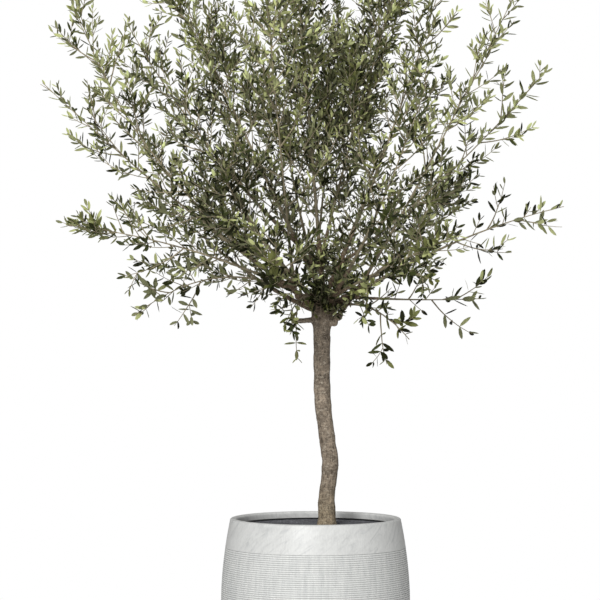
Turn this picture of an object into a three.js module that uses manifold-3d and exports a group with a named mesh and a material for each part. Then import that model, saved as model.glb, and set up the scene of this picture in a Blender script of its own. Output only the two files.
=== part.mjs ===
// A young olive tree on a clear stem, planted in a round barrel-shaped pot.
// Millimetres, +Z up. The origin is the centre of the pot's flat underside, which stands on the floor.
// +X is to the right and +Y is to the back, as the tree is seen from its front.
//
// The crown follows one rule. Each leader runs on one smooth curve from the head of the trunk, or from
// another leader's bough, to its tip. The first stretch of it is a bough. The rest is the stem of a mass
// of foliage: arms stand out of it in a spiral, and leaves stand out of the stem and the arms in pairs.
import * as THREE from "three";
import { mergeVertices } from "three/addons/utils/BufferGeometryUtils.js";
import Module from "manifold-3d";

const wasm = await Module();
wasm.setup();
const { Manifold, Mesh } = wasm;

// Pot and soil
const POT_HEIGHT = 450;
const POT_BELLY_RADIUS = 250;
const POT_RIM_RADIUS = 225;
const POT_FOOT_RADIUS = 196;
const POT_BELLY_HEIGHT = 235;
const POT_ROUNDNESS = 1.8;
const POT_WALL = 18;
const POT_FLOOR = 26;
const POT_EDGE = 5;
const POT_SIDES = 40;
const OUTSIDE_BANDS = 6;
const INSIDE_BANDS = 3;
const SOIL_BELOW_RIM = 20;
const SOIL_EDGE = 4;
const GAP = 0.3;
const SOIL_TOP = POT_HEIGHT - SOIL_BELOW_RIM;

// Trunk, as [height, x, y, radius] up its centre line: its root flare, its bend and its swollen head
const TRUNK_LINE = [
  [SOIL_TOP + GAP, 30, 0, 28],
  [452, 30, 0, 24],
  [500, 30, 0, 22],
  [548, 35, 1, 22],
  [600, 38.5, 2, 22.5],
  [645, 33, 2, 22],
  [690, 27, 1, 21.5],
  [735, 21, 0, 22],
  [790, 18, 0, 22],
  [860, 17, 0, 22],
  [925, 17, 0, 22.5],
  [965, 17, 0, 26],
  [1000, 18, 0, 29],
  [1030, 20, 1, 25],
  [1050, 21, 2, 17],
];
const TRUNK_SIDES = 12;
const TRUNK_WIDEST = Math.max(...TRUNK_LINE.map(([, , , radius]) => radius));

// Sawn stubs on the head, as [height, bearing, rise, length, radius]. A bearing of 0 is right, 90 is back.
const STUBS = [
  [975, 186, -4, 82, 6.5],
  [948, 174, 38, 48, 4],
];
const STUB_TAPER = 2;

// Leaders, as [name, home, at, tip, bow, bough, spread]. home is "head", or the leader whose bough this one
// forks from, and at is the height on the trunk, or the share of that bough. tip is the far end. bow moves
// the middle of the curve, as [outward, up]. bough is the length of the bare limb, and spread is how far the
// arms and their leaves stand out of the stem.
const LEADERS = [
  ["left_upper", "head", 1000, [-728, 60, 1606], [0, -50], 215, 215],
  ["top_left", "head", 1040, [-405, 190, 1955], [20, 0], 190, 265],
  ["top", "head", 1042, [-60, -70, 2040], [0, -10], 150, 260],
  ["right_top", "head", 950, [525, -110, 1835], [-170, -420], 200, 235],
  ["right_centre", "head", 1022, [335, 60, 1870], [20, -30], 220, 230],
  ["right_mid", "head", 985, [652, -50, 1272], [0, 70], 200, 95],
  ["front_left", "head", 1010, [-330, -520, 1520], [0, -110], 200, 255],
  ["front_right", "head", 995, [270, -550, 1560], [0, -110], 200, 255],
  ["back_left", "head", 990, [-450, 470, 1340], [0, -80], 200, 240],
  ["back_upper", "head", 1028, [-110, 550, 1640], [0, -100], 190, 260],
  ["back_right", "head", 1000, [410, 480, 1360], [0, -80], 200, 240],
  ["left_top", "left_upper", 0.72, [-622, -150, 1822], [200, 0], 90, 215],
  ["left_mid", "left_upper", 0.5, [-652, -90, 1222], [0, 50], 85, 175],
  ["left_low", "left_upper", 0.3, [-486, 110, 985], [0, 150], 95, 150],
  ["top_right", "top", 0.6, [255, 130, 1985], [-30, -30], 95, 255],
  ["right_upper", "right_centre", 0.48, [626, 150, 1648], [0, -60], 95, 180],
  ["right_low", "right_mid", 0.45, [446, 120, 1030], [0, -10], 80, 95],
  ["hanging_right", "right_mid", 0.2, [240, -190, 925], [0, 75], 60, 95],
  ["hanging_left", "front_left", 0.12, [-78, -230, 965], [0, 80], 60, 85],
  ["front_low", "front_left", 0.35, [-120, -560, 1120], [0, 20], 85, 185],
  ["front_low_right", "front_right", 0.4, [330, -500, 1180], [0, 10], 85, 180],
  ["front_top", "front_left", 0.8, [-130, -390, 1850], [0, -40], 80, 250],
  ["back_low", "back_right", 0.3, [60, 570, 1120], [0, 20], 85, 185],
  ["back_top", "back_upper", 0.6, [70, 400, 1850], [0, -50], 85, 240],
  ["left_centre", "top_left", 0.8, [-500, 30, 1760], [40, -40], 345, 175],
];
const HEAD_BOUGH_RADIUS = 8;
const SIDE_BOUGH_RADIUS = 5.5;
const BOUGH_TAPER = 0.72;
const BOUGH_SIDES = 5;
const BOUGH_STEPS = 3;
const CURVE_POINTS = 13;

// Stems and arms. A pair of values runs from the foot of the stem to its tip. An arm's reach is the spread
// times a swell that falls off towards the tip.
const TWIG_SIDES = 3;
const STEM_TIP_RADIUS = 3.4;
const STEM_STEPS = 4;
const ARM_SPACING = 104;
const ARM_LEAST_COUNT = 4;
const ARM_SHARES = [0.05, 0.74];
const ARM_SWELL = 1.1;
const ARM_FALL = 0.85;
const ARM_VARY = [0.85, 1.1];
const ARM_LEAST = 50;
const ARM_STEP = 17;
const ARM_STEPS = 2;
const ARM_RADII = [2.8, 2];
const ARM_TIP_RADIUS = 1.7;
const ARM_LEANS = [64, 34];
const LEAN_VARY = 7;
const TURN_VARY = 24;
const ARM_DRIFT = 0.06;
const ARM_LIFT = 0.055;
const GOLDEN_TURN = 137.5;

// Leaves. Each stands for a spray, so it is larger than life.
const LEAF_LENGTH = 112;
const LEAF_AT_TIP = 0.76;
const LEAF_WIDTH = 35;
const LEAF_THICKNESS = 3.6;
const LEAF_WIDEST = 0.42;
const LEAF_POINT = 0.5;
const LEAF_LEAN = 44;
const LEAF_TWIST = 65;
const LEAF_ROOT = 0.5;
const LEAF_SEED = 7;
const ARM_PAIRS = [0.6];
const STEM_PAIRS = [0.3, 0.58, 0.86];
// Places along a leaf where its space is tried, as [share of its length, share of its width]
const LEAF_TRIALS = [[0.2, 0.5], [LEAF_WIDEST, 1], [0.7, 0.55], [1, 0]];
const SPACE_MARGIN = 4;
const LIMB_MARGIN = 3;

const UP = new THREE.Vector3(0, 0, 1);
const RIGHT = new THREE.Vector3(1, 0, 0);
const STEEP = 0.9;
const MERGE = 1e-4;
const radians = THREE.MathUtils.degToRad;
const lerp = THREE.MathUtils.lerp;

// Seeded draws in whole-number steps, so that every machine and language gets the same numbers
const MULTIPLIER = 16807;
const MODULUS = 2147483647;

class Draws {
  constructor(...seeds) {
    this.state = 1;
    for (const seed of seeds) {
      this.state = ((this.state + seed) * MULTIPLIER + 11) % MODULUS;
      this.next();
    }
  }
  next() {
    this.state = (this.state * MULTIPLIER) % MODULUS;
    return this.state / MODULUS;
  }
  between(low, high) {
    return low + (high - low) * this.next();
  }
}

// Two directions square to d and to each other
function sidesOf(d) {
  const first = new THREE.Vector3().crossVectors(d, Math.abs(d.z) < STEEP ? UP : RIGHT).normalize();
  return [first, new THREE.Vector3().crossVectors(first, d).normalize()];
}

// The direction that leans off d by some degrees, at some turn round it
function leaning(d, turn, lean) {
  const [first, second] = sidesOf(d);
  const side = first.multiplyScalar(Math.cos(radians(turn))).addScaledVector(second, Math.sin(radians(turn)));
  return d.clone().multiplyScalar(Math.cos(radians(lean))).addScaledVector(side, Math.sin(radians(lean)));
}

// Solids and meshes
function solidOf(geometry) {
  geometry.deleteAttribute("normal");
  geometry.deleteAttribute("uv");
  const merged = mergeVertices(geometry, MERGE);
  const vertProperties = merged.getAttribute("position").array;
  const triVerts = new Uint32Array(merged.index.array);
  return new Manifold(new Mesh({ numProp: 3, vertProperties, triVerts }));
}

function geometryOf(solid) {
  const mesh = solid.getMesh();
  const geometry = new THREE.BufferGeometry();
  geometry.setAttribute("position", new THREE.BufferAttribute(mesh.vertProperties, 3));
  geometry.setIndex(new THREE.BufferAttribute(mesh.triVerts, 1));
  geometry.computeVertexNormals();
  return geometry;
}

// The largest of a solid's separate bodies, so that no loose scrap is kept
function whole(solid) {
  return solid.decompose().reduce((best, body) => (body.volume() > best.volume() ? body : best));
}

const smoothLine = (points) => new THREE.CatmullRomCurve3(points, false, "centripetal");

// A limb: a cylinder bent along a line. A ring is [share of the length, half-width, half-thickness].
function limb(points, rings, sides, roll = 0) {
  const curve = smoothLine(points);
  const geometry = new THREE.CylinderGeometry(1, 1, 1, sides, rings.length - 1, false);
  let across = sidesOf(curve.getTangentAt(0))[0].applyAxisAngle(curve.getTangentAt(0), radians(roll));
  const frames = rings.map(([share, width, thickness]) => {
    const tangent = curve.getTangentAt(share);
    across = across.clone().addScaledVector(tangent, -across.dot(tangent)).normalize();
    const up = new THREE.Vector3().crossVectors(across, tangent);
    return { centre: curve.getPointAt(share), across, up, width, thickness };
  });
  const corners = geometry.getAttribute("position");
  for (let i = 0; i < corners.count; i++) {
    const frame = frames[Math.round((corners.getY(i) + 0.5) * (rings.length - 1))];
    const at = frame.centre.clone();
    at.addScaledVector(frame.across, corners.getX(i) * frame.width);
    at.addScaledVector(frame.up, corners.getZ(i) * frame.thickness);
    corners.setXYZ(i, at.x, at.y, at.z);
  }
  return solidOf(geometry);
}

// Rings of a round limb that tapers evenly
function round(from, to, steps) {
  const radii = Array.from({ length: steps + 1 }, (_, i) => lerp(from, to, i / steps));
  return radii.map((radius, i) => [i / steps, radius, radius]);
}

// A twig that ends in a leaf: the limb's last two rings are flattened into its blade
function leafyLimb(points, rings, size, roll) {
  const length = smoothLine(points).getLength();
  const end = points.at(-1);
  const heading = end.clone().sub(points.at(-2)).normalize();
  const added = [0.5, 1].map((share) => end.clone().addScaledVector(heading, share * size));
  const blade = [
    [(length + LEAF_WIDEST * size) / (length + size), LEAF_WIDTH / 2, LEAF_THICKNESS / 2],
    [1, LEAF_POINT, LEAF_POINT],
  ];
  const shaft = rings.map(([share, ...widths]) => [(share * length) / (length + size), ...widths]);
  return limb([...points, ...added], [...shaft, ...blade], TWIG_SIDES, roll);
}

// Pot: a turned barrel with a soft rim, and walls of even thickness down to its floor
function bellyRadius(height) {
  const rise = height > POT_BELLY_HEIGHT;
  const end = rise ? POT_RIM_RADIUS : POT_FOOT_RADIUS;
  const span = rise ? POT_HEIGHT - POT_BELLY_HEIGHT : POT_BELLY_HEIGHT;
  const share = Math.abs(height - POT_BELLY_HEIGHT) / span;
  return POT_BELLY_RADIUS - (POT_BELLY_RADIUS - end) * share ** POT_ROUNDNESS;
}

function wall(low, high, bands, inset) {
  const heights = Array.from({ length: bands + 1 }, (_, i) => lerp(low, high, i / bands));
  return heights.map((z) => [bellyRadius(z) - inset, z]);
}

const outerWall = wall(POT_EDGE, POT_HEIGHT - POT_EDGE, OUTSIDE_BANDS, 0);
const innerWall = wall(POT_FLOOR, POT_HEIGHT - POT_EDGE, INSIDE_BANDS, POT_WALL);

// The radius of the pot's inner wall, which the soil follows
function innerRadius(height) {
  const above = Math.max(1, innerWall.findIndex(([, z]) => z >= height));
  const [[low, from], [high, to]] = [innerWall[above - 1], innerWall[above]];
  return lerp(low, high, (height - from) / (to - from));
}

function turned(profile) {
  const outline = profile.map(([r, z]) => new THREE.Vector2(r, z));
  const geometry = new THREE.LatheGeometry(outline, POT_SIDES);
  geometry.rotateX(Math.PI / 2);
  return solidOf(geometry);
}

function pot() {
  return turned([
    [0, 0],
    [POT_FOOT_RADIUS - POT_EDGE, 0],
    ...outerWall,
    [POT_RIM_RADIUS - POT_EDGE, POT_HEIGHT],
    [POT_RIM_RADIUS - POT_WALL + POT_EDGE, POT_HEIGHT],
    ...innerWall.toReversed(),
    [0, POT_FLOOR],
  ]);
}

function soil() {
  const top = SOIL_TOP - SOIL_EDGE;
  const heights = [POT_FLOOR + GAP, ...innerWall.slice(1).map(([, z]) => z).filter((z) => z < top), top];
  return turned([
    [0, POT_FLOOR + GAP],
    ...heights.map((z) => [innerRadius(z) - GAP, z]),
    [innerRadius(SOIL_TOP) - GAP - SOIL_EDGE, SOIL_TOP],
    [0, SOIL_TOP],
  ]);
}

// Trunk: one tapering stem from its flat cut at the soil to the head, with its sawn stubs
const trunkLine = TRUNK_LINE.map(([z, x, y]) => new THREE.Vector3(x, y, z));

function trunkAt(height) {
  const above = Math.max(1, trunkLine.findIndex((point) => point.z >= height));
  const [low, high] = trunkLine.slice(above - 1, above + 1);
  return low.clone().lerp(high, (height - low.z) / (high.z - low.z));
}

function stub([height, bearing, rise, length, radius], grow) {
  const level = new THREE.Vector3(Math.cos(radians(bearing)), Math.sin(radians(bearing)), 0);
  const out = leaning(level, 90, rise);
  const line = [0, 0.5, 1].map((share) => trunkAt(height).addScaledVector(out, share * length));
  return limb(line, round(radius + STUB_TAPER + grow, radius + grow, 1), BOUGH_SIDES);
}

function trunk(grow = 0) {
  const steps = TRUNK_LINE.length - 1;
  const stem = new THREE.CylinderGeometry(1, 1, 1, TRUNK_SIDES, steps, false);
  const corners = stem.getAttribute("position");
  for (let i = 0; i < corners.count; i++) {
    const [z, x, y, radius] = TRUNK_LINE[Math.round((corners.getY(i) + 0.5) * steps)];
    corners.setXYZ(i, x + corners.getX(i) * (radius + grow), y - corners.getZ(i) * (radius + grow), z);
  }
  return Manifold.union([solidOf(stem), ...STUBS.map((row) => stub(row, grow))]);
}

// Leaders: the curve of each, where its bough ends, and where its stem ends short of its last leaf
function curveOf(origin, tip, [outwards, upwards]) {
  const outward = tip.clone().sub(origin).setZ(0).normalize();
  const middle = origin.clone().lerp(tip, 0.5);
  middle.addScaledVector(outward, outwards).addScaledVector(UP, upwards);
  return new THREE.QuadraticBezierCurve3(origin, middle, tip);
}

const leafSize = (share) => LEAF_LENGTH * lerp(1, LEAF_AT_TIP, share);

function growLeaders() {
  const grown = [];
  LEADERS.forEach(([name, homeName, at, tip, bow, bareLength, spread], index) => {
    const home = grown.find((other) => other.name === homeName);
    const origin = home ? home.curve.getPoint(home.share * at) : trunkAt(at);
    const curve = curveOf(origin, new THREE.Vector3(...tip), bow);
    const radius = home ? SIDE_BOUGH_RADIUS : HEAD_BOUGH_RADIUS;
    const share = curve.getUtoTmapping(0, bareLength);
    const stemEnd = curve.getUtoTmapping(0, curve.getLength() - leafSize(1));
    grown.push({ name, index, curve, spread, share, stemEnd, radius, endRadius: radius * BOUGH_TAPER });
  });
  return grown;
}

function stretch(curve, from, to) {
  const shares = Array.from({ length: CURVE_POINTS }, (_, i) => i / (CURVE_POINTS - 1));
  return shares.map((share) => curve.getPoint(lerp(from, to, share)));
}

const leaders = growLeaders();
const stemLines = leaders.map(({ curve, share, stemEnd }) => stretch(curve, share, stemEnd));
const boughLines = leaders.map(({ curve, share }) => stretch(curve, 0, share));

function bough({ index, radius, endRadius }, grow = 0) {
  return limb(boughLines[index], round(radius + grow, endRadius + grow, BOUGH_STEPS), BOUGH_SIDES);
}

// Space: a mass keeps to the points that lie nearer its own stem than any other, and clear of all limbs
function gapTo(line, point) {
  const span = new THREE.Line3();
  const near = new THREE.Vector3();
  let best = Infinity;
  for (let i = 1; i < line.length; i++) {
    span.set(line[i - 1], line[i]).closestPointToPoint(point, true, near);
    best = Math.min(best, near.distanceTo(point));
  }
  return best;
}

function inSpace(index, point, radius) {
  const nearest = gapTo(stemLines[index], point) + 2 * (radius + SPACE_MARGIN);
  if (stemLines.some((line, i) => i !== index && gapTo(line, point) < nearest)) return false;
  if (gapTo(trunkLine, point) < TRUNK_WIDEST + radius + LIMB_MARGIN) return false;
  return boughLines.every((line, i) => gapTo(line, point) >= leaders[i].radius + radius + LIMB_MARGIN);
}

// Arms: in a spiral round the stem, cut short where they would leave their space
function armOf(leader, number, count) {
  const draws = new Draws(leader.index + 1, number + 1);
  const share = lerp(...ARM_SHARES, number / (count - 1));
  const along = lerp(leader.share, 1, share);
  const turn = number * GOLDEN_TURN + draws.between(-TURN_VARY, TURN_VARY);
  const lean = lerp(...ARM_LEANS, share) + draws.between(-LEAN_VARY, LEAN_VARY);
  const reach = leader.spread * (ARM_SWELL - ARM_FALL * share ** 2) * draws.between(...ARM_VARY);
  const size = leafSize(share);
  const length = Math.max(ARM_LEAST, reach - size);
  const steps = Math.round(length / ARM_STEP);
  const heading = leaning(leader.curve.getTangent(along), turn, lean);
  const line = [leader.curve.getPoint(along)];
  for (let i = 0; i < steps; i++) {
    const next = line[i].clone().addScaledVector(heading, length / steps);
    if (!inSpace(leader.index, next, ARM_RADII[0])) break;
    line.push(next);
    const [right, back] = [draws.between(-ARM_DRIFT, ARM_DRIFT), draws.between(-ARM_DRIFT, ARM_DRIFT)];
    heading.add(new THREE.Vector3(right, back, ARM_LIFT)).normalize();
  }
  return { line, radius: lerp(...ARM_RADII, share), size };
}

function armsOf(leader) {
  const length = leader.curve.getLength() * (1 - leader.share);
  const count = Math.max(ARM_LEAST_COUNT, Math.round(length / ARM_SPACING));
  const arms = Array.from({ length: count }, (_, i) => armOf(leader, i, count));
  return arms.filter((arm) => arm.line.length > 2);
}

// A leaf: an eight-faced blade whose root is sunk in its twig, turned by a twist about its own length
function leaf(root, heading, along, twist, size) {
  const across = new THREE.Vector3().crossVectors(heading, along).normalize();
  across.applyAxisAngle(heading, radians(twist));
  const face = new THREE.Vector3().crossVectors(across, heading);
  const geometry = new THREE.OctahedronGeometry(1, 0);
  const corners = geometry.getAttribute("position");
  for (let i = 0; i < corners.count; i++) {
    const isEnd = Math.abs(corners.getY(i)) > 0.5;
    const share = isEnd ? (corners.getY(i) + 1) / 2 : LEAF_WIDEST;
    const at = root.clone().addScaledVector(heading, share * size - LEAF_ROOT);
    at.addScaledVector(across, (corners.getX(i) * LEAF_WIDTH) / 2);
    at.addScaledVector(face, (corners.getZ(i) * LEAF_THICKNESS) / 2);
    corners.setXYZ(i, at.x, at.y, at.z);
  }
  return solidOf(geometry);
}

function leafFits(index, root, heading, size) {
  return LEAF_TRIALS.every(([along, across]) => {
    return inSpace(index, root.clone().addScaledVector(heading, along * size), (across * LEAF_WIDTH) / 2);
  });
}

// A twig with pairs of leaves along it, each pair square to the last, and a leaf at its end where that fits
function twig(index, number, line, rings, pairs, size) {
  const draws = new Draws(index + 1, number + 1, LEAF_SEED);
  const curve = smoothLine(line);
  const roll = draws.between(0, 180);
  const ends = leafFits(index, line.at(-1), curve.getTangentAt(1), size);
  const parts = [ends ? leafyLimb(line, rings, size, roll) : limb(line, rings, TWIG_SIDES)];
  pairs.forEach((share, i) => {
    const along = curve.getTangentAt(share);
    for (const half of [0, 180]) {
      const root = curve.getPointAt(share);
      const heading = leaning(along, number * GOLDEN_TURN + 90 * i + half, LEAF_LEAN);
      const twist = draws.between(-LEAF_TWIST, LEAF_TWIST);
      if (leafFits(index, root, heading, size)) parts.push(leaf(root, heading, along, twist, size));
    }
  });
  return parts;
}

// A mass: its stem starts just clear of its bough's tip, and twigs and leaves are fused to it
function foliage(leader) {
  const { index } = leader;
  const [first, ...rest] = stemLines[index];
  const start = first.clone().addScaledVector(leader.curve.getTangent(leader.share), GAP);
  const stemRings = round(leader.endRadius, STEM_TIP_RADIUS, STEM_STEPS);
  const parts = twig(index, 0, [start, ...rest], stemRings, STEM_PAIRS, leafSize(1));
  armsOf(leader).forEach(({ line, radius, size }, i) => {
    parts.push(...twig(index, i + 1, line, round(radius, ARM_TIP_RADIUS, ARM_STEPS), ARM_PAIRS, size));
  });
  return whole(Manifold.union(parts));
}

// Materials
const paint = (color, roughness) => new THREE.MeshStandardMaterial({ color, roughness, metalness: 0 });
const potFinish = paint(0xd6d9d8, 0.85);
const soilFinish = paint(0x46464a, 0.95);
const barkFinish = paint(0x7c7060, 0.9);
const leafFinish = paint(0x6f7856, 0.6);

const tree = new THREE.Group();

function place(name, solid, finish) {
  const mesh = new THREE.Mesh(geometryOf(solid), finish);
  mesh.name = name;
  tree.add(mesh);
}

place("pot", pot(), potFinish);
place("soil", soil(), soilFinish);
place("trunk", trunk(), barkFinish);

// Each bough is cut clear of the trunk and of the boughs before it, so that they meet with an even gap.
let taken = trunk(GAP);
for (const leader of leaders) {
  place("bough_" + leader.name, whole(bough(leader).subtract(taken)), barkFinish);
  taken = taken.add(bough(leader, GAP));
}
for (const leader of leaders) place("foliage_" + leader.name, foliage(leader), leafFinish);

export default tree;
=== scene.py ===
"""The looks of a potted olive tree: its ribbed pot, soil, bark, twigs and leaves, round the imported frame.

Metres, +Z up. The origin is the centre of the pot's flat underside, which stands on the floor.
+X is to the right and +Y is to the back, as the tree is seen from its front.

The crown grows by the rule of the part's source, which is written again here and carried further. Each
leader runs on one smooth curve: first a bough, then the stem of a mass of foliage. Arms stand out of the
stem in a spiral, finer twigs fill in between them, side shoots stand out of both and of the bough, and pairs
of leaves stand out of them all. A mass keeps to the points that lie nearer its own stem than any other. Short
shoots of no mass crowd over the front of the head.
"""

import math
from collections import namedtuple

import bmesh
import bpy
import numpy as np
from bpy.props import FloatProperty, FloatVectorProperty, IntProperty, PointerProperty
from mathutils import Matrix, Vector, noise


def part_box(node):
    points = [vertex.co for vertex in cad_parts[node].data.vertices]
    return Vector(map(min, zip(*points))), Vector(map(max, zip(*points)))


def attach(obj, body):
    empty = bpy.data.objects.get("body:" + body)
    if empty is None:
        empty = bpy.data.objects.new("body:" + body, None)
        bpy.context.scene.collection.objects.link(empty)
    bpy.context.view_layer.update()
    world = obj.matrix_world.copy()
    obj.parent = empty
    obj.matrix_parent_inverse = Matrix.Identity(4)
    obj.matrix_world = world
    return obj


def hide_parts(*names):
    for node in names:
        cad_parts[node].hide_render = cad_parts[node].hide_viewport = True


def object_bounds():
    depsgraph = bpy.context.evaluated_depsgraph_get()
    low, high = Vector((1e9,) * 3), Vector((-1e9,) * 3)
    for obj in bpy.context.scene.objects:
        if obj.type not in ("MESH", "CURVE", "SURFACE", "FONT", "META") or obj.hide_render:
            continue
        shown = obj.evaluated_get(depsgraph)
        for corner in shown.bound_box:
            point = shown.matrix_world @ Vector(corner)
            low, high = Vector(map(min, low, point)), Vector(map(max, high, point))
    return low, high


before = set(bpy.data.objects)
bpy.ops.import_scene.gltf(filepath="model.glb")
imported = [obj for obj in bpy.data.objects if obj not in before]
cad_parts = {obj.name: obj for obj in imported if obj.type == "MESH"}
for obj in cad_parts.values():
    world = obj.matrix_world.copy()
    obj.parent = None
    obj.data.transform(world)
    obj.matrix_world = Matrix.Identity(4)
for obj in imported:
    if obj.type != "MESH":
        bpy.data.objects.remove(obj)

bl_info = {
    "name": "Potted olive tree",
    "version": (1, 0, 0),
    "blender": (4, 5, 0),
    "location": "View3D > Sidebar > Olive tree",
    "description": "Dresses the packed frame of a potted olive tree",
    "category": "Object",
}

CAD_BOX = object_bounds()
POT_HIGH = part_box("pot")[1]
SOIL_LOW, SOIL_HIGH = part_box("soil")

# Pot, as in the source
POT_HEIGHT = POT_HIGH.z
BELLY_RADIUS = 0.250
RIM_RADIUS = 0.225
FOOT_RADIUS = 0.196
BELLY_HEIGHT = 0.235
ROUNDNESS = 1.8
WALL = 0.018
FLOOR = 0.026
POT_EDGE = 0.005
FOOT_RING = 0.6 * FOOT_RADIUS
RIBS_LOW = 2 * POT_EDGE

# The grooves between the ribs: where each has its points, as shares of the pitch, how round its sides are,
# how much deeper the last one is, how far above it the smooth band starts, the angle that counts as sharp on
# the pot, and how narrow the painted shade in a groove is
GROOVE_POINTS = (0, 0.22, 0.5, 0.78)
GROOVE_ROUNDNESS = 0.7
LAST_GROOVE = 1.3
BAND_START = 0.0006
POT_SHARP_ANGLE = 48
GROOVE_PAINTED_SHADE = 4.0

# The stone of the band: how far a swirl turns round the pot as it climbs one metre, how fine the swirls are,
# and how dark and how rough the band is
SWIRL_TURN = -4.0
SWIRL_SCALE = (22, 22, 11)
BAND_SHADE = (0.94, 0.94, 0.945)
BAND_ROUGHNESS = (0.38, 0.38, 0.38)

# The soil's rim against the pot's wall, coloured near black as painted shadow: how wide it is, how far it
# rises and how far it dips inside, and in its own widths, how far from the wall the soil lies level and how
# far in the rim's painted shadow goes
SOIL_RIM = 0.007
SOIL_RIM_RISE = 0.0030
SOIL_RIM_DIP = 0.001
SOIL_LEVEL = 1.5
SOIL_RIM_SHADOW_REACH = 1.1

# The soil's top: its rings and faces round, how near to it a corner counts as on it, its waves as
# (scale, share), how far they rise and it sinks, as shares of a crumb, and the angle that counts as sharp
SOIL_RINGS = 64
SOIL_SEGMENTS = 160
SOIL_NEAR = 1e-5
SOIL_WAVES = [(60, 1.0), (190, 0.7)]
SOIL_WAVE = 0.6
SOIL_SINK = 0.5
SOIL_SHARP_ANGLE = 50

# Loose crumbs on the soil: their sizes, how they are turned and squashed, how deep they lie, as a share of a
# crumb's height, and how far they keep from the pot's wall
CRUMB_SIZES = (0.0010, 0.0026)
CRUMB_ROLL = 3
CRUMB_WIDTHS = (0.7, 1.3)
CRUMB_HEIGHTS = (0.5, 0.9)
CRUMB_DEPTH = 0.2
CRUMB_MARGIN = 0.030
CRUMB_SEEDS = (5, 9)

# Trunk, as in the source: (height, x, y, radius) up its centre line
TRUNK_LINE = [
    (0.4303, 0.0300, 0.000, 0.0280),
    (0.4520, 0.0300, 0.000, 0.0240),
    (0.5000, 0.0300, 0.000, 0.0220),
    (0.5480, 0.0350, 0.001, 0.0220),
    (0.6000, 0.0385, 0.002, 0.0225),
    (0.6450, 0.0330, 0.002, 0.0220),
    (0.6900, 0.0270, 0.001, 0.0215),
    (0.7350, 0.0210, 0.000, 0.0220),
    (0.7900, 0.0180, 0.000, 0.0220),
    (0.8600, 0.0170, 0.000, 0.0220),
    (0.9250, 0.0170, 0.000, 0.0225),
    (0.9650, 0.0170, 0.000, 0.0260),
    (1.0000, 0.0180, 0.000, 0.0290),
    (1.0300, 0.0200, 0.001, 0.0250),
    (1.0500, 0.0210, 0.002, 0.0170),
]
TRUNK_WIDEST = max(row[3] for row in TRUNK_LINE)

# Sawn stubs on the head, as in the source: (height, bearing, rise, length, radius)
STUBS = [
    (0.975, 186, -4, 0.082, 0.0065),
    (0.948, 174, 38, 0.048, 0.0040),
]
STUB_TAPER = 0.002
STUB_STEPS = 4

# Knots where limbs were pruned away: (x, y, z, radius)
KNOTS = [
    (-0.044, 0.003, 1.038, 0.0125),
    (-0.067, 0.006, 1.066, 0.0175),
    (-0.020, -0.010, 1.022, 0.0150),
    (0.034, -0.034, 1.024, 0.0150),
    (0.004, -0.026, 1.020, 0.0165),
    (0.045, -0.002, 1.004, 0.0140),
    (0.049, -0.007, 0.967, 0.0105),
    (0.062, -0.010, 0.981, 0.0095),
]

# Leaders, as in the source: (name, home, at, tip, bow, bough, spread)
LEADERS = [
    ("left_upper", "head", 1.000, (-0.728, 0.060, 1.606), (0, -0.050), 0.215, 0.215),
    ("top_left", "head", 1.040, (-0.405, 0.190, 1.955), (0.020, 0), 0.190, 0.265),
    ("top", "head", 1.042, (-0.060, -0.070, 2.040), (0, -0.010), 0.150, 0.260),
    ("right_top", "head", 0.950, (0.525, -0.110, 1.835), (-0.170, -0.420), 0.200, 0.235),
    ("right_centre", "head", 1.022, (0.335, 0.060, 1.870), (0.020, -0.030), 0.220, 0.230),
    ("right_mid", "head", 0.985, (0.652, -0.050, 1.272), (0, 0.070), 0.200, 0.095),
    ("front_left", "head", 1.010, (-0.330, -0.520, 1.520), (0, -0.110), 0.200, 0.255),
    ("front_right", "head", 0.995, (0.270, -0.550, 1.560), (0, -0.110), 0.200, 0.255),
    ("back_left", "head", 0.990, (-0.450, 0.470, 1.340), (0, -0.080), 0.200, 0.240),
    ("back_upper", "head", 1.028, (-0.110, 0.550, 1.640), (0, -0.100), 0.190, 0.260),
    ("back_right", "head", 1.000, (0.410, 0.480, 1.360), (0, -0.080), 0.200, 0.240),
    ("left_top", "left_upper", 0.72, (-0.622, -0.150, 1.822), (0.200, 0), 0.090, 0.215),
    ("left_mid", "left_upper", 0.5, (-0.652, -0.090, 1.222), (0, 0.050), 0.085, 0.175),
    ("left_low", "left_upper", 0.3, (-0.486, 0.110, 0.985), (0, 0.150), 0.095, 0.150),
    ("top_right", "top", 0.6, (0.255, 0.130, 1.985), (-0.030, -0.030), 0.095, 0.255),
    ("right_upper", "right_centre", 0.48, (0.626, 0.150, 1.648), (0, -0.060), 0.095, 0.180),
    ("right_low", "right_mid", 0.45, (0.446, 0.120, 1.030), (0, -0.010), 0.080, 0.095),
    ("hanging_right", "right_mid", 0.2, (0.240, -0.190, 0.925), (0, 0.075), 0.060, 0.095),
    ("hanging_left", "front_left", 0.12, (-0.078, -0.230, 0.965), (0, 0.080), 0.060, 0.085),
    ("front_low", "front_left", 0.35, (-0.120, -0.560, 1.120), (0, 0.020), 0.085, 0.185),
    ("front_low_right", "front_right", 0.4, (0.330, -0.500, 1.180), (0, 0.010), 0.085, 0.180),
    ("front_top", "front_left", 0.8, (-0.130, -0.390, 1.850), (0, -0.040), 0.080, 0.250),
    ("back_low", "back_right", 0.3, (0.060, 0.570, 1.120), (0, 0.020), 0.085, 0.185),
    ("back_top", "back_upper", 0.6, (0.070, 0.400, 1.850), (0, -0.050), 0.085, 0.240),
    ("left_centre", "top_left", 0.8, (-0.500, 0.030, 1.760), (0.040, -0.040), 0.345, 0.175),
]
HEAD_BOUGH_RADIUS = 0.008
SIDE_BOUGH_RADIUS = 0.0055
BOUGH_TAPER = 0.72

# Points along a stretch of a leader's curve, and samples along the whole of it that its length is told from
CURVE_POINTS = 13
CURVE_SAMPLES = 201

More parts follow.
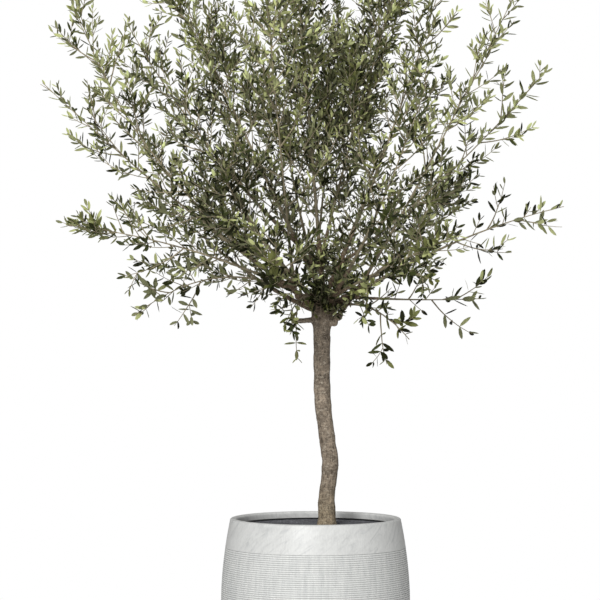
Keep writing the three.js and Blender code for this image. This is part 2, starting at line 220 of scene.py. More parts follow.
# Relief of the bark: its slow lumps as (scale, share), how fine its upright ridges and level scars are, how
# much of the scars' noise is cut off, how far they stand out beside the ridges, how far from the trunk's
# middle, in its own widest radius, the relief is full, and the share of it on the boughs beyond
LUMP_WAVES = [(26, 1.0), (61, 0.5)]
RIDGE_SCALE = Vector((210, 210, 45))
SCAR_SCALE = Vector((90, 90, 330))
SCAR_LEAST = 0.25
SCAR_SHARE = 1.6
TRUNK_REACH = 1.4
BOUGH_RELIEF = 0.75

# Shades of the bark, as (height, colour) up the trunk and (distance, colour) from the middle of its head, the
# latter a redder painted shade round the head under the crown, and the heights between which the first give
# way to the second
HEAD = (0.020, 0.0, 1.070)
TRUNK_SHADES = [(0.47, (1.16, 1.14, 1.02)), (0.55, (0.92, 0.91, 0.90)), (0.70, (1.0, 0.99, 0.98))]
HEAD_PAINTED_SHADES = [(0.10, (0.54, 0.47, 0.39)), (0.24, (0.80, 0.77, 0.69)), (0.55, (1.05, 1.00, 0.86))]
HEAD_HEIGHTS = (0.965, 1.02)

# The cut end of a stub: how deep the sawn wood's finish goes, and how far out, in radii of the stub
SAWN_DEPTH = 0.0012
SAWN_REACH = 1.3

# Sides of the crown, each one piece of twigs and one piece of leaves, and how full their masses are beside
# the rest: the shares of a mass's finer twigs, of its leaves, of their size and of the dark ones among them,
# how much closer its twigs stand at the foot of the stem, and the share of shoots on its bough
Fullness = namedtuple("Fullness", "twigs leaves leaf_size darkness crowding bough", defaults=(1.15, 1.0))
CROWN_SIDES = {
    "left": {
        "left_upper": Fullness(0.84, 0.90, 0.98, 0.85, 1.6),
        "left_top": Fullness(0.92, 0.90, 0.95, 0.75, 1.5),
        "left_centre": Fullness(1.15, 0.90, 0.92, 0.78),
        "left_mid": Fullness(0.95, 0.70, 1.06, 0.28, 0.65),
        "left_low": Fullness(0.90, 0.52, 1.24, 0.34, 1.2),
    },
    "top": {
        "top_left": Fullness(1.40, 1.00, 0.92, 0.61, 1.1),
        "top": Fullness(1.42, 1.00, 0.92, 0.64, 1.15, 3.5),
        "top_right": Fullness(1.90, 1.00, 0.92, 0.56, 1.0),
        "right_top": Fullness(0.60, 0.90, 1.05, 0.48, 0.5),
    },
    "right": {
        "right_centre": Fullness(1.05, 0.86, 1.00, 0.58, 1.5),
        "right_mid": Fullness(1.00, 0.58, 1.14, 0.58, 1.3),
        "right_upper": Fullness(0.55, 0.82, 1.12, 0.42, 2.4),
        "right_low": Fullness(0.45, 0.48, 1.30, 0.42),
        "hanging_right": Fullness(0.80, 0.50, 1.36, 0.24),
    },
    "front": {
        "front_left": Fullness(1.15, 1.00, 0.90, 1.4, 1.3, 2.5),
        "front_right": Fullness(0.80, 0.90, 0.92, 0.90, 2.0, 3.0),
        "hanging_left": Fullness(0.65, 0.55, 1.20, 0.28),
        "front_low": Fullness(1.10, 0.95, 0.96, 0.44),
        "front_low_right": Fullness(1.40, 0.90, 0.98, 0.42, 1.3),
        "front_top": Fullness(0.60, 0.95, 0.92, 0.58, 0.45),
    },
    "back": {
        "back_left": Fullness(0.95, 0.95, 0.95, 1.0),
        "back_upper": Fullness(0.44, 1.00, 0.92, 0.9),
        "back_right": Fullness(1.25, 0.80, 0.95, 0.68, 0.65),
        "back_low": Fullness(1.00, 1.00, 0.95, 0.55),
        "back_top": Fullness(1.25, 1.00, 0.92, 0.85, 0.8),
    },
}
FULLNESS = {name: fullness for masses in CROWN_SIDES.values() for name, fullness in masses.items()}

# Arms, as in the source. A pair of values runs from the foot of the stem to its tip.
ARM_SPACING = 0.104
ARM_LEAST_COUNT = 4
ARM_SHARES = (0.05, 0.74)
ARM_SWELL = 1.1
ARM_FALL = 0.85
ARM_VARY = (0.85, 1.1)
ARM_LEAST = 0.050
ARM_STEP = 0.017
ARM_RADII = (0.0028, 0.0020)
ARM_LEANS = (64, 34)
LEAN_VARY = 7
TURN_VARY = 24
ARM_DRIFT = 0.06
ARM_LIFT = 0.055
GOLDEN_TURN = 137.5
SOURCE_LEAF = 0.112
SOURCE_LEAF_AT_TIP = 0.76
SPACE_MARGIN = 0.004
LIMB_MARGIN = 0.003
ARM_SPACE = (ARM_RADII[0], SPACE_MARGIN)
LEAST_STEPS = 2

# A direction that climbs more than this takes its sides from the right, not from the upright
STEEP = 0.9

# The rule of the seeded draws, as in the source
MULTIPLIER = 16807
MODULUS = 2147483647
SEED_STEP = 11

# Finer growth, which only this script has
FINER = 4
FINE_SHARES = (0.03, 0.96)
FINE_REACH = (0.45, 1.0)
FINE_LEAN_VARY = 17
FINE_LIFT = 0.35
FINE_SEED = 11
SHOOT_SEED = 23
LEAF_SEED = 7
SHOOT_SPACING = 0.036
SHOOT_FIRST = 0.030
SHOOT_LEAST = 0.034
SHOOT_LENGTHS = (0.35, 0.62)
SHOOT_LEANS = (26, 62)
BOUGH_SHOOT_LEANS = (62, 86)
BOUGH_SHOOT_FIRST = 0.022
BOUGH_SHOOT_SERIAL = 900
BOUGH_SHOOT_DENSITY = 2.4
SHOOT_VARY = (0.7, 1.3)
SHOOT_DRIFT = 0.09
STEM_TIP_RADIUS = 0.0011
TWIG_TIP_RADIUS = 0.0007
TWIG_SLIMMER = 0.88
SHOOT_RADIUS = 0.0011
SHOOT_SPACE = (SHOOT_RADIUS, 0.0)
FINE_RADIUS = 1.25 * SHOOT_RADIUS
STEM_ROOT_DEPTH = 0.006
STEM_TAPER = 1.7

# How much of a twig is bare of leaves at its foot, as a share of its length
ARM_BARE = 0.32
FINE_BARE = 0.25
SHOOT_BARE = 0.08
STEM_BARE = 0.6
HEAD_SHOOT_BARE = 0.3

# Short leafy shoots that crowd over the front of the head: the side whose pieces they join, how many are
# tried, of which some have no room, how far from the middle of the trunk they start, and the bearings,
# heights, rises and counts of steps between which they are drawn
HEAD_SIDE = "front"
HEAD_SHOOTS = 56
HEAD_SHOOT_ROOT = 0.036
HEAD_SHOOT_BEARINGS = (235, 350)
HEAD_SHOOT_HEIGHTS = (0.978, 1.055)
HEAD_SHOOT_RISES = (0.2, 2.6)
HEAD_SHOOT_STEPS = (2, 5.5)
HEAD_FULLNESS = Fullness(1.0, 1.25, 0.95, 0.6)
HEAD_SEED = 31

# How leaves stand on a shoot, and between what they vary
LEAF_FIRST = (0.006, 0.014)
LEAF_SPACING_VARY = (0.82, 1.18)
LEAF_LEANS = (26, 54)
LEAF_LEAN_VARY = 12
LEAF_TURN_VARY = 16
LEAF_LIFT = (-0.15, 0.50)
LEAF_FACE_LIFT = (0.1, 0.8)
LEAF_ROLL = 60
LEAF_LENGTH_VARY = (0.78, 1.12)
LEAF_WIDTH_VARY = (0.88, 1.14)
LEAF_BENDS = (-0.20, 0.08)
LEAF_FOLDS = (0.08, 0.50)
YOUNG_VARY = (-1.4, 1.0)

# The size and the spacing of leaves at a shoot's tip, as shares, and how far down it they grow to the full
TIP_SIZE, TIP_SIZE_REACH = 0.62, 0.060
TIP_SPACING, TIP_SPACING_REACH = 0.6, 0.050

# Leaves are smaller deep in the crown and low down, and get darker tones there as painted shade and paler
# tones at its top and rim as painted light, by a place's share of the way out to its rim: where the crown
# starts, how far up and out its rim is, what the two ways weigh, how dark the painted shade makes the leaves
# inside and outside, how small and how close inside, and how broad low down, and how far up that reaches
LOW_CROWN = 1.00
CROWN_REACH = (0.75, 0.62)
UP_WEIGHT, OUT_WEIGHT = 0.75, 0.42
PAINTED_SHADE_DARKNESS = (3.8, 0.48)
INNER_SIZE = 0.74
INNER_SPACING = 0.80
LOW_BREADTH = 1.20
LOW_SHARE = 0.5

# Leaf outline, as (share of the length, share of the half width), and where along it its space is tried
LEAF_STATIONS = [(0.22, 0.74), (0.54, 1.0), (0.83, 0.66)]
LEAF_THICKNESS = 0.0005
LEAF_SHARP_ANGLE = 60
LEAF_TRIALS = (0.5, 1.0)
LEAF_SLACK = 0.012

# Leaf finishes, dealt out by spray, as (name, chance), and the share of leaves that draw one of their own
TONES = [("deep", 0.34), ("green", 0.28), ("olive", 0.22), ("pale", 0.16)]
YOUNG_TONE = len(TONES)
OWN_TONE = 0.4

# The solids' box, a little larger, which every twig and the straight line along every leaf keep to
BOX_SLACK = 0.010
BOX_LOW = np.array(CAD_BOX[0]) - BOX_SLACK
BOX_HIGH = np.array(CAD_BOX[1]) + BOX_SLACK

UP = np.array((0.0, 0.0, 1.0))
RIGHT = np.array((1.0, 0.0, 0.0))

# Camera, lights and floor. A light is name: (place, width), and its power is one of the stage's settings.
CAMERA_PLACE = (-0.041, -6.870, 1.0263)
CAMERA_LENS = 155.8
CAMERA_SENSOR = 36.0
CAMERA_REACH = 40
FLOOR_RADIUS = 1.95
LIGHT_AIM = Vector((0.0, 0.0, 1.1))
LIGHTS = {
    "key": ((-1.5, -5.0, 3.0), 1.8),
    "fill": ((3.4, -2.6, 1.6), 2.4),
    "top": ((0.2, 0.4, 4.2), 2.6),
}


class Draws:
    """Seeded draws in whole-number steps, which give the same numbers as the source's."""

    def __init__(self, *seeds):
        self.state = 1
        for seed in seeds:
            self.state = ((self.state + seed) * MULTIPLIER + SEED_STEP) % MODULUS
            self.next()

    def next(self):
        self.state = (self.state * MULTIPLIER) % MODULUS
        return self.state / MODULUS

    def between(self, low, high):
        return low + (high - low) * self.next()


def lerp(low, high, share):
    return low + (high - low) * share


def even(low, high, steps):
    """Evenly spaced values, from one to another."""
    return [lerp(low, high, i / steps) for i in range(steps + 1)]


def nearest_whole(value):
    return math.floor(value + 0.5)


def unit(vectors):
    return vectors / np.linalg.norm(vectors, axis=-1, keepdims=True)


def leaning(d, turn, lean):
    """The direction that leans off d by some degrees, at some turn round it."""
    first = unit(np.cross(d, UP if abs(d[2]) < STEEP else RIGHT))
    second = unit(np.cross(first, d))
    side = first * math.cos(math.radians(turn)) + second * math.sin(math.radians(turn))
    return d * math.cos(math.radians(lean)) + side * math.sin(math.radians(lean))


def level_heading(bearing):
    """The level direction at some degrees from the right, counted towards the back."""
    return np.array((math.cos(math.radians(bearing)), math.sin(math.radians(bearing)), 0.0))


def waves(place, rows):
    """The height of some waves of noise at a place, from rows of (scale, share)."""
    return sum(share * noise.noise(place * scale) for scale, share in rows)


# Leaders

class Bow:
    """The curve of a leader, from its origin to its tip, with its middle moved outward and up."""

    def __init__(self, origin, tip, outwards, upwards):
        outward = unit((tip - origin) * (1, 1, 0))
        self.origin = origin
        self.middle = (origin + tip) / 2 + outward * outwards + UP * upwards
        self.tip = tip
        self.shares = np.linspace(0, 1, CURVE_SAMPLES)
        steps = np.linalg.norm(np.diff(self.at(self.shares), axis=0), axis=1)
        self.lengths = np.concatenate(([0], np.cumsum(steps)))

    def at(self, shares):
        t = np.asarray(shares, float)[..., None]
        return (1 - t) ** 2 * self.origin + 2 * (1 - t) * t * self.middle + t**2 * self.tip

    def heading(self, share):
        return unit((1 - share) * (self.middle - self.origin) + share * (self.tip - self.middle))

    def share_at(self, distance):
        return float(np.interp(distance, self.lengths, self.shares))

    def stretch(self, first, last):
        return self.at(np.linspace(first, last, CURVE_POINTS))


# A grown leader. Its bough ends and its mass's stem starts at share. The source's stem ends at stem_end.
Leader = namedtuple("Leader", "index curve spread share stem_end radius fullness")


def source_leaf(share):
    """How long the source's stand-in leaf is, at a share of the stem."""
    return SOURCE_LEAF * lerp(1, SOURCE_LEAF_AT_TIP, share)


def trunk_at(height):
    """The middle of the trunk at a height."""
    heights, across, back, _ = np.array(TRUNK_LINE).T
    return np.array([np.interp(height, heights, across), np.interp(height, heights, back), height])


def grow_leaders():
    """Every leader by its name."""
    grown = {}
    for index, (name, home, at, tip, bow, bare, spread) in enumerate(LEADERS):
        is_side = home in grown
        origin = grown[home].curve.at(grown[home].share * at) if is_side else trunk_at(at)
        curve = Bow(origin, np.array(tip), *bow)
        stem_end = curve.share_at(curve.lengths[-1] - source_leaf(1))
        radius = SIDE_BOUGH_RADIUS if is_side else HEAD_BOUGH_RADIUS
        grown[name] = Leader(index, curve, spread, curve.share_at(bare), stem_end, radius, FULLNESS[name])
    return grown


LEADERS_BY_NAME = grow_leaders()
LEADERS_GROWN = list(LEADERS_BY_NAME.values())
STEM_LINES = np.array([leader.curve.stretch(leader.share, leader.stem_end) for leader in LEADERS_GROWN])
BOUGH_LINES = np.array([leader.curve.stretch(0, leader.share) for leader in LEADERS_GROWN])
BOUGH_RADII = np.array([leader.radius for leader in LEADERS_GROWN])
TRUNK_POINTS = np.array([[(x, y, z) for z, x, y, _ in TRUNK_LINE]])

# Stands in for the leader of the shoots on the head, which are in no mass
HEAD_LEADER = LEADERS_GROWN[0]._replace(index=len(LEADERS), fullness=HEAD_FULLNESS)


# Space

def gaps(lines, points):
    """The distance from each point to each line, as a table of points by lines."""
    starts, spans = lines[:, :-1], np.diff(lines, axis=1)
    away = points[:, None, None, :] - starts[None]
    along = np.clip((away * spans).sum(-1) / (spans**2).sum(-1), 0, 1)
    return np.linalg.norm(away - along[..., None] * spans, axis=-1).min(axis=2)


def in_space(index, points, radius, margin):
    """Whether each point is clear of the limbs, inside the box and in its own mass's space, if any."""
    clear_of_trunk = gaps(TRUNK_POINTS, points)[:, 0] >= TRUNK_WIDEST + radius + LIMB_MARGIN
    clear_of_boughs = (gaps(BOUGH_LINES, points) >= BOUGH_RADII + radius + LIMB_MARGIN).all(axis=1)
    in_box = ((points > BOX_LOW) & (points < BOX_HIGH)).all(axis=1)
    free = clear_of_trunk & clear_of_boughs & in_box
    if index == HEAD_LEADER.index:
        return free
    to_stems = gaps(STEM_LINES, points)
    own = to_stems[:, index] + 2 * (radius + margin)
    to_stems[:, index] = np.inf
    return free & (to_stems.min(axis=1) >= own)


# Twigs

Twig = namedtuple("Twig", "line radius tip_radius number bare is_stem", defaults=(False,))


def grow_line(leader, start, heading, count, draws, step=ARM_STEP, drift=ARM_DRIFT, space=ARM_SPACE):
    """A line of even steps, cut short where it would leave its mass's space."""
    line = [start]
    for _ in range(count):
        line.append(line[-1] + heading * step)
        right, back = draws.between(-drift, drift), draws.between(-drift, drift)
        heading = unit(heading + (right, back, ARM_LIFT))
    line = np.array(line)
    free = in_space(leader.index, line[1:], *space)
    return line if free.all() else line[: 1 + np.argmin(free)]


def grow_shoot(leader, start, heading, count, draws):
    """The line of a side shoot, which strays more than an arm and needs less space."""
    return grow_line(leader, start, heading, count, draws, drift=SHOOT_DRIFT, space=SHOOT_SPACE)


def spiral_turn(number, draws):
    """How far round its stem a twig stands: a golden turn on from the last, a little varied."""
    return number * GOLDEN_TURN + draws.between(-TURN_VARY, TURN_VARY)


def full_reach(leader, share):
    """How far a mass reaches out of its stem, at a share of the stem."""
    return leader.spread * (ARM_SWELL - ARM_FALL * share**2)


def arm_of(leader, number, count):
    """An arm of the source, which reaches as far as the source's last leaf on it does."""
    draws = Draws(leader.index + 1, number + 1)
    share = lerp(*ARM_SHARES, number / (count - 1))
    along = lerp(leader.share, 1, share)
    turn = spiral_turn(number, draws)
    lean = lerp(*ARM_LEANS, share) + draws.between(-LEAN_VARY, LEAN_VARY)
    reach = full_reach(leader, share) * draws.between(*ARM_VARY)
    size = source_leaf(share)
    length = max(ARM_LEAST, reach - size)
    steps = nearest_whole(length / ARM_STEP)
    step = length / steps
    steps += nearest_whole(size / step)
    heading = leaning(leader.curve.heading(along), turn, lean)
    line = grow_line(leader, leader.curve.at(along), heading, steps, draws, step)
    return Twig(line, lerp(*ARM_RADII, share) * TWIG_SLIMMER, TWIG_TIP_RADIUS, number, ARM_BARE)


def fine_twig_of(leader, number, count):
    """A finer twig between the arms, which keeps within their reach."""
    draws = Draws(leader.index + 1, number + 1, FINE_SEED)
    share = lerp(*FINE_SHARES, (number / (count - 1)) ** leader.fullness.crowding)
    along = lerp(leader.share, 1, share)
    turn = spiral_turn(number, draws)
    lean = lerp(*ARM_LEANS, share) + draws.between(-FINE_LEAN_VARY, FINE_LEAN_VARY)
    length = full_reach(leader, share) * draws.between(*FINE_REACH)
    heading = unit(leaning(leader.curve.heading(along), turn, lean) + UP * FINE_LIFT)
    line = grow_line(leader, leader.curve.at(along), heading, nearest_whole(length / ARM_STEP), draws)
    return Twig(line, FINE_RADIUS, TWIG_TIP_RADIUS, number, FINE_BARE)


def heading_along(line, share):
    """The point and the heading at a share of a line of even steps."""
    place = share * (len(line) - 1)
    low = min(int(place), len(line) - 2)
    span = line[low + 1] - line[low]
    return line[low] + span * (place - low), unit(span)


def shoots_of(leader, twig, serial, first=SHOOT_FIRST, leans=SHOOT_LEANS, density=1.0):
    """Side shoots of a twig, turn about, which grow shorter towards its tip."""
    length = np.linalg.norm(twig.line[1] - twig.line[0]) * (len(twig.line) - 1)
    draws = Draws(leader.index + 1, serial + 1, SHOOT_SEED)
    spacing = SHOOT_SPACING / (leader.fullness.twigs * leader.fullness.leaves * density)
    shoots = []
    distance = first + draws.between(0, spacing)
    while distance < length - SHOOT_LEAST:
        root, along = heading_along(twig.line, distance / length)
        number = len(shoots)
        turn = spiral_turn(number, draws)
        heading = leaning(along, turn, draws.between(*leans))
        reach = (length - distance) * draws.between(*SHOOT_LENGTHS) + SHOOT_LEAST
        steps = max(LEAST_STEPS, nearest_whole(reach / ARM_STEP))
        line = grow_shoot(leader, root, heading, steps, draws)
        if len(line) > LEAST_STEPS:
            shoots.append(Twig(line, SHOOT_RADIUS, TWIG_TIP_RADIUS, number, SHOOT_BARE))
        distance += spacing * draws.between(*SHOOT_VARY)
    return shoots


def twigs_of(leader):
    """The stem of a mass and everything that branches from it."""
    length = leader.curve.lengths[-1] * (1 - leader.share)
    count = max(ARM_LEAST_COUNT, nearest_whole(length / ARM_SPACING))
    fine_count = nearest_whole(FINER * count * leader.fullness.twigs)
    arms = [arm_of(leader, number, count) for number in range(count)]
    arms += [fine_twig_of(leader, number, fine_count) for number in range(fine_count)]
    arms = [arm for arm in arms if len(arm.line) > LEAST_STEPS]
    shoots = [shoot for serial, arm in enumerate(arms) for shoot in shoots_of(leader, arm, serial)]
    bough = Twig(BOUGH_LINES[leader.index], leader.radius, leader.radius, 0, 1)
    density = BOUGH_SHOOT_DENSITY * leader.fullness.bough
    shoots += shoots_of(leader, bough, BOUGH_SHOOT_SERIAL, BOUGH_SHOOT_FIRST, BOUGH_SHOOT_LEANS, density)
    line = leader.curve.stretch(leader.share, 1)
    stem = Twig(line, leader.radius * BOUGH_TAPER, STEM_TIP_RADIUS, 0, STEM_BARE, is_stem=True)
    return [stem, *arms, *shoots]


def head_shoots():
    """The short shoots over the front of the head, each rooted in the middle of the trunk."""
    draws = Draws(HEAD_SEED)
    shoots = []
    for number in range(HEAD_SHOOTS):
        level = level_heading(draws.between(*HEAD_SHOOT_BEARINGS))
        middle = trunk_at(draws.between(*HEAD_SHOOT_HEIGHTS))
        heading = unit(level + UP * draws.between(*HEAD_SHOOT_RISES))
        steps = nearest_whole(draws.between(*HEAD_SHOOT_STEPS))
        line = grow_shoot(HEAD_LEADER, middle + level * HEAD_SHOOT_ROOT, heading, steps, draws)
        if len(line) > LEAST_STEPS:
            line = np.vstack([middle, line])
            shoots.append(Twig(line, SHOOT_RADIUS, TWIG_TIP_RADIUS, number, HEAD_SHOOT_BARE))
    return shoots


# Leaves

Leaves = namedtuple("Leaves", "roots headings faces lengths widths bends folds tones")


def rim_shares(place):
    """How far up and how far out in the crown a place is."""
    upward = (place[2] - LOW_CROWN) / CROWN_REACH[0]
    outward = math.hypot(place[0], place[1]) / CROWN_REACH[1]
    return min(1.0, max(0.0, upward)), min(1.0, outward)


def tone_for(draw, darkness):
    """The tone that a draw from 0 to 1 falls on. A darkness over 1 draws darker leaves."""
    draw **= darkness
    for tone, (_, chance) in enumerate(TONES):
        draw -= chance
        if draw < 0:
            return tone
    return len(TONES) - 1


def leaf_directions(along, turn, lean, draws):
    """Where a leaf points and where its upper side faces."""
    turn += draws.between(-LEAF_TURN_VARY, LEAF_TURN_VARY)
    lean += draws.between(-LEAF_LEAN_VARY, LEAF_LEAN_VARY)
    heading = unit(leaning(along, turn, lean) + UP * draws.between(*LEAF_LIFT))
    face = along - (along @ heading) * heading + UP * draws.between(*LEAF_FACE_LIFT)
    face = unit(face - (face @ heading) * heading)
    across = np.cross(heading, face)
    roll = math.radians(draws.between(-LEAF_ROLL, LEAF_ROLL))
    return heading, face * math.cos(roll) + across * math.sin(roll)


def leaves_of(leader, twigs, crown):
    """Pairs of leaves along each twig, each pair square to the last, and smaller towards the tip."""
    rows = []
    fullness = leader.fullness
    for serial, twig in enumerate(twigs):
        draws = Draws(leader.index + 1, serial + 1, LEAF_SEED)
        length = np.linalg.norm(np.diff(twig.line, axis=0), axis=1).sum()
        upward, outward = rim_shares(twig.line[-1])
        outer = min(1.0, UP_WEIGHT * upward + OUT_WEIGHT * outward**2)
        # Painted shade: darker tones deep in the crown and low down, paler tones at its top and rim, times
        # the mass's own share of dark leaves
        darkness = lerp(*PAINTED_SHADE_DARKNESS, outer) * fullness.darkness
        full_size = crown.leaf_length * fullness.leaf_size * lerp(INNER_SIZE, 1, max(outer, outward))
        slimness = crown.leaf_slimness * lerp(LOW_BREADTH, 1, min(1.0, upward / LOW_SHARE))
        spacing = crown.pair_spacing * lerp(INNER_SPACING, 1, outer) / fullness.leaves
        tone = tone_for(draws.next(), darkness)
        young_end = crown.young_reach * (draws.between(*YOUNG_VARY) + outer - 1)
        distance = length * twig.bare + draws.between(*LEAF_FIRST)
        turn = twig.number * GOLDEN_TURN
        while distance < length:
            root, along = heading_along(twig.line, distance / length)
            to_tip = length - distance
            scale = min(1.0, lerp(TIP_SIZE, 1, to_tip / TIP_SIZE_REACH))
            off_tip = min(1.0, to_tip / TIP_SPACING_REACH)
            for half in (0, 180):
                heading, face = leaf_directions(along, turn + half, lerp(*LEAF_LEANS, off_tip), draws)
                size = full_size * scale * draws.between(*LEAF_LENGTH_VARY)
                width = size * slimness * draws.between(*LEAF_WIDTH_VARY) / scale**0.5
                bend, fold = draws.between(*LEAF_BENDS), draws.between(*LEAF_FOLDS)
                own_tone, chance = tone_for(draws.next(), darkness), draws.next()
                leaf_tone = YOUNG_TONE if to_tip < young_end else own_tone if chance < OWN_TONE else tone
                if draws.next() > crown.missing:
                    rows.append((root, heading, face, size, width, bend, fold, leaf_tone))
            distance += spacing * draws.between(*LEAF_SPACING_VARY) * lerp(TIP_SPACING, 1, off_tip)
            turn += 90
    leaves = Leaves(*(np.array(column) for column in zip(*rows)))
    return fitting(leader.index, leaves)


def fitting(index, leaves):
    """The leaves that keep to their mass's space."""
    kept = np.ones(len(leaves.roots), bool)
    for share in LEAF_TRIALS:
        points = leaves.roots + leaves.headings * (leaves.lengths * share)[:, None]
        kept &= in_space(index, points, 0.0, -LEAF_SLACK)
    return Leaves(*(column[kept] for column in leaves))


def blade_mesh(name, leaves):
    """One mesh of thin closed blades. Each tone has a slot for its upper side and one for its underside."""
    count, stations = len(leaves.roots), len(LEAF_STATIONS)
    across = np.cross(leaves.headings, leaves.faces)

    def spot(share, sideways, raised):
        arched = leaves.bends * share**2 * leaves.lengths
        return (
            leaves.roots
            + leaves.headings * (share * leaves.lengths)[:, None]
            + across * sideways[:, None]
            + leaves.faces * (arched + raised)[:, None]
        )

    none = np.zeros(count)
    rings = []
    for share, breadth in LEAF_STATIONS:
        half = leaves.widths / 2 * breadth
        thick = np.full(count, LEAF_THICKNESS / 2)
        rings += [
            spot(share, -half, -half * leaves.folds),
            spot(share, none, thick),
            spot(share, half, -half * leaves.folds),
            spot(share, none, -thick),
        ]
    corners = np.stack([spot(0.0, none, none), *rings, spot(1.0, none, none)], axis=1)
    faces, is_top = blade_faces(stations)
    return joined_mesh(name, corners, faces, np.array(is_top), leaves.tones)


def blade_faces(stations):
    """The faces of one blade, as lists of corners, and whether each is on the upper side."""
    faces, is_top = [], []
    last = 4 * stations + 1
    for side in range(4):
        other = (side + 1) % 4
        upper = side < 2
        faces.append((0, 1 + side, 1 + other))
        is_top.append(upper)
        for ring in range(stations - 1):
            near, far = 1 + 4 * ring, 5 + 4 * ring
            faces.append((near + side, far + side, far + other, near + other))
            is_top.append(upper)
        faces.append((last, last - 4 + other, last - 4 + side))
        is_top.append(upper)
    return faces, is_top


def joined_mesh(name, corners, faces, is_top, tones):
    """A mesh of many copies of one small form, each with its own corners."""
    count, per_copy = corners.shape[:2]
    pattern = np.concatenate([np.array(face) for face in faces])
    sizes = np.array([len(face) for face in faces])
    indices = (pattern[None] + per_copy * np.arange(count)[:, None]).ravel()
    starts = np.concatenate(([0], np.cumsum(np.tile(sizes, count))[:-1]))
    mesh = bpy.data.meshes.new(name)
    mesh.vertices.add(count * per_copy)
    mesh.vertices.foreach_set("co", corners.astype(np.float32).ravel())
    mesh.loops.add(len(indices))
    mesh.loops.foreach_set("vertex_index", indices.astype(np.int32))
    mesh.polygons.add(len(starts))
    mesh.polygons.foreach_set("loop_start", starts.astype(np.int32))
    slots = 2 * tones[:, None] + (1 - is_top[None].astype(int))
    mesh.polygons.foreach_set("material_index", slots.astype(np.int32).ravel())
    mesh.update(calc_edges=True)
    mesh.validate()
    mesh.shade_smooth()
    mesh.set_sharp_from_angle(angle=math.radians(LEAF_SHARP_ANGLE))
    return mesh


# Meshes

def tubes(name, limbs, resolution, slots=None):
    """A mesh of round tapering limbs, each in its slot. A limb is a table of rows (x, y, z, radius)."""
    curve = bpy.data.curves.new(name, "CURVE")
    curve.dimensions = "3D"
    curve.bevel_depth = 1.0
    curve.bevel_resolution = resolution
    curve.use_fill_caps = True
    for rows, slot in zip(limbs, slots or [0] * len(limbs)):
        spline = curve.splines.new("POLY")
        spline.material_index = slot
        spline.points.add(len(rows) - 1)
        places = np.column_stack([rows[:, :3], np.ones(len(rows))])
        spline.points.foreach_set("co", places.ravel())
        spline.points.foreach_set("radius", rows[:, 3])
    holder = bpy.data.objects.new(name, curve)
    bpy.context.collection.objects.link(holder)
    mesh = finished(holder)
    bpy.data.curves.remove(curve)
    return mesh


def finished(holder):
    """The mesh of an object with its modifiers done. The object itself is removed."""
    graph = bpy.context.evaluated_depsgraph_get()
    mesh = bpy.data.meshes.new_from_object(holder.evaluated_get(graph))
    bpy.data.objects.remove(holder)
    return mesh


def mesh_from(bm, name):
    mesh = bpy.data.meshes.new(name)
    bm.to_mesh(mesh)
    bm.free()
    return mesh


def turned(profile, segments):
    """A bmesh turned round the pot's axis from an outline of (radius, height)."""
    bm = bmesh.new()
    corners = [bm.verts.new((radius, 0, height)) for radius, height in profile]
    edges = [bm.edges.new(pair) for pair in zip(corners, corners[1:])]
    bmesh.ops.spin(
        bm, geom=corners + edges, cent=(0, 0, 0), axis=(0, 0, 1), dvec=(0, 0, 0), angle=math.tau,
        steps=segments, use_merge=True, use_normal_flip=False, use_duplicate=False,
    )
    bmesh.ops.remove_doubles(bm, verts=bm.verts, dist=1e-6)
    bmesh.ops.recalc_face_normals(bm, faces=bm.faces)
    return bm


def add_piece(name, mesh, materials, nodes):
    """A finished piece that rides on the tree's one body and stands for some nodes of the frame."""
    piece = bpy.data.objects.new(name, mesh)
    bpy.context.collection.objects.link(piece)
    for material in materials:
        mesh.materials.append(material)
    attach(piece, "root")
    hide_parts(*nodes)


# Materials

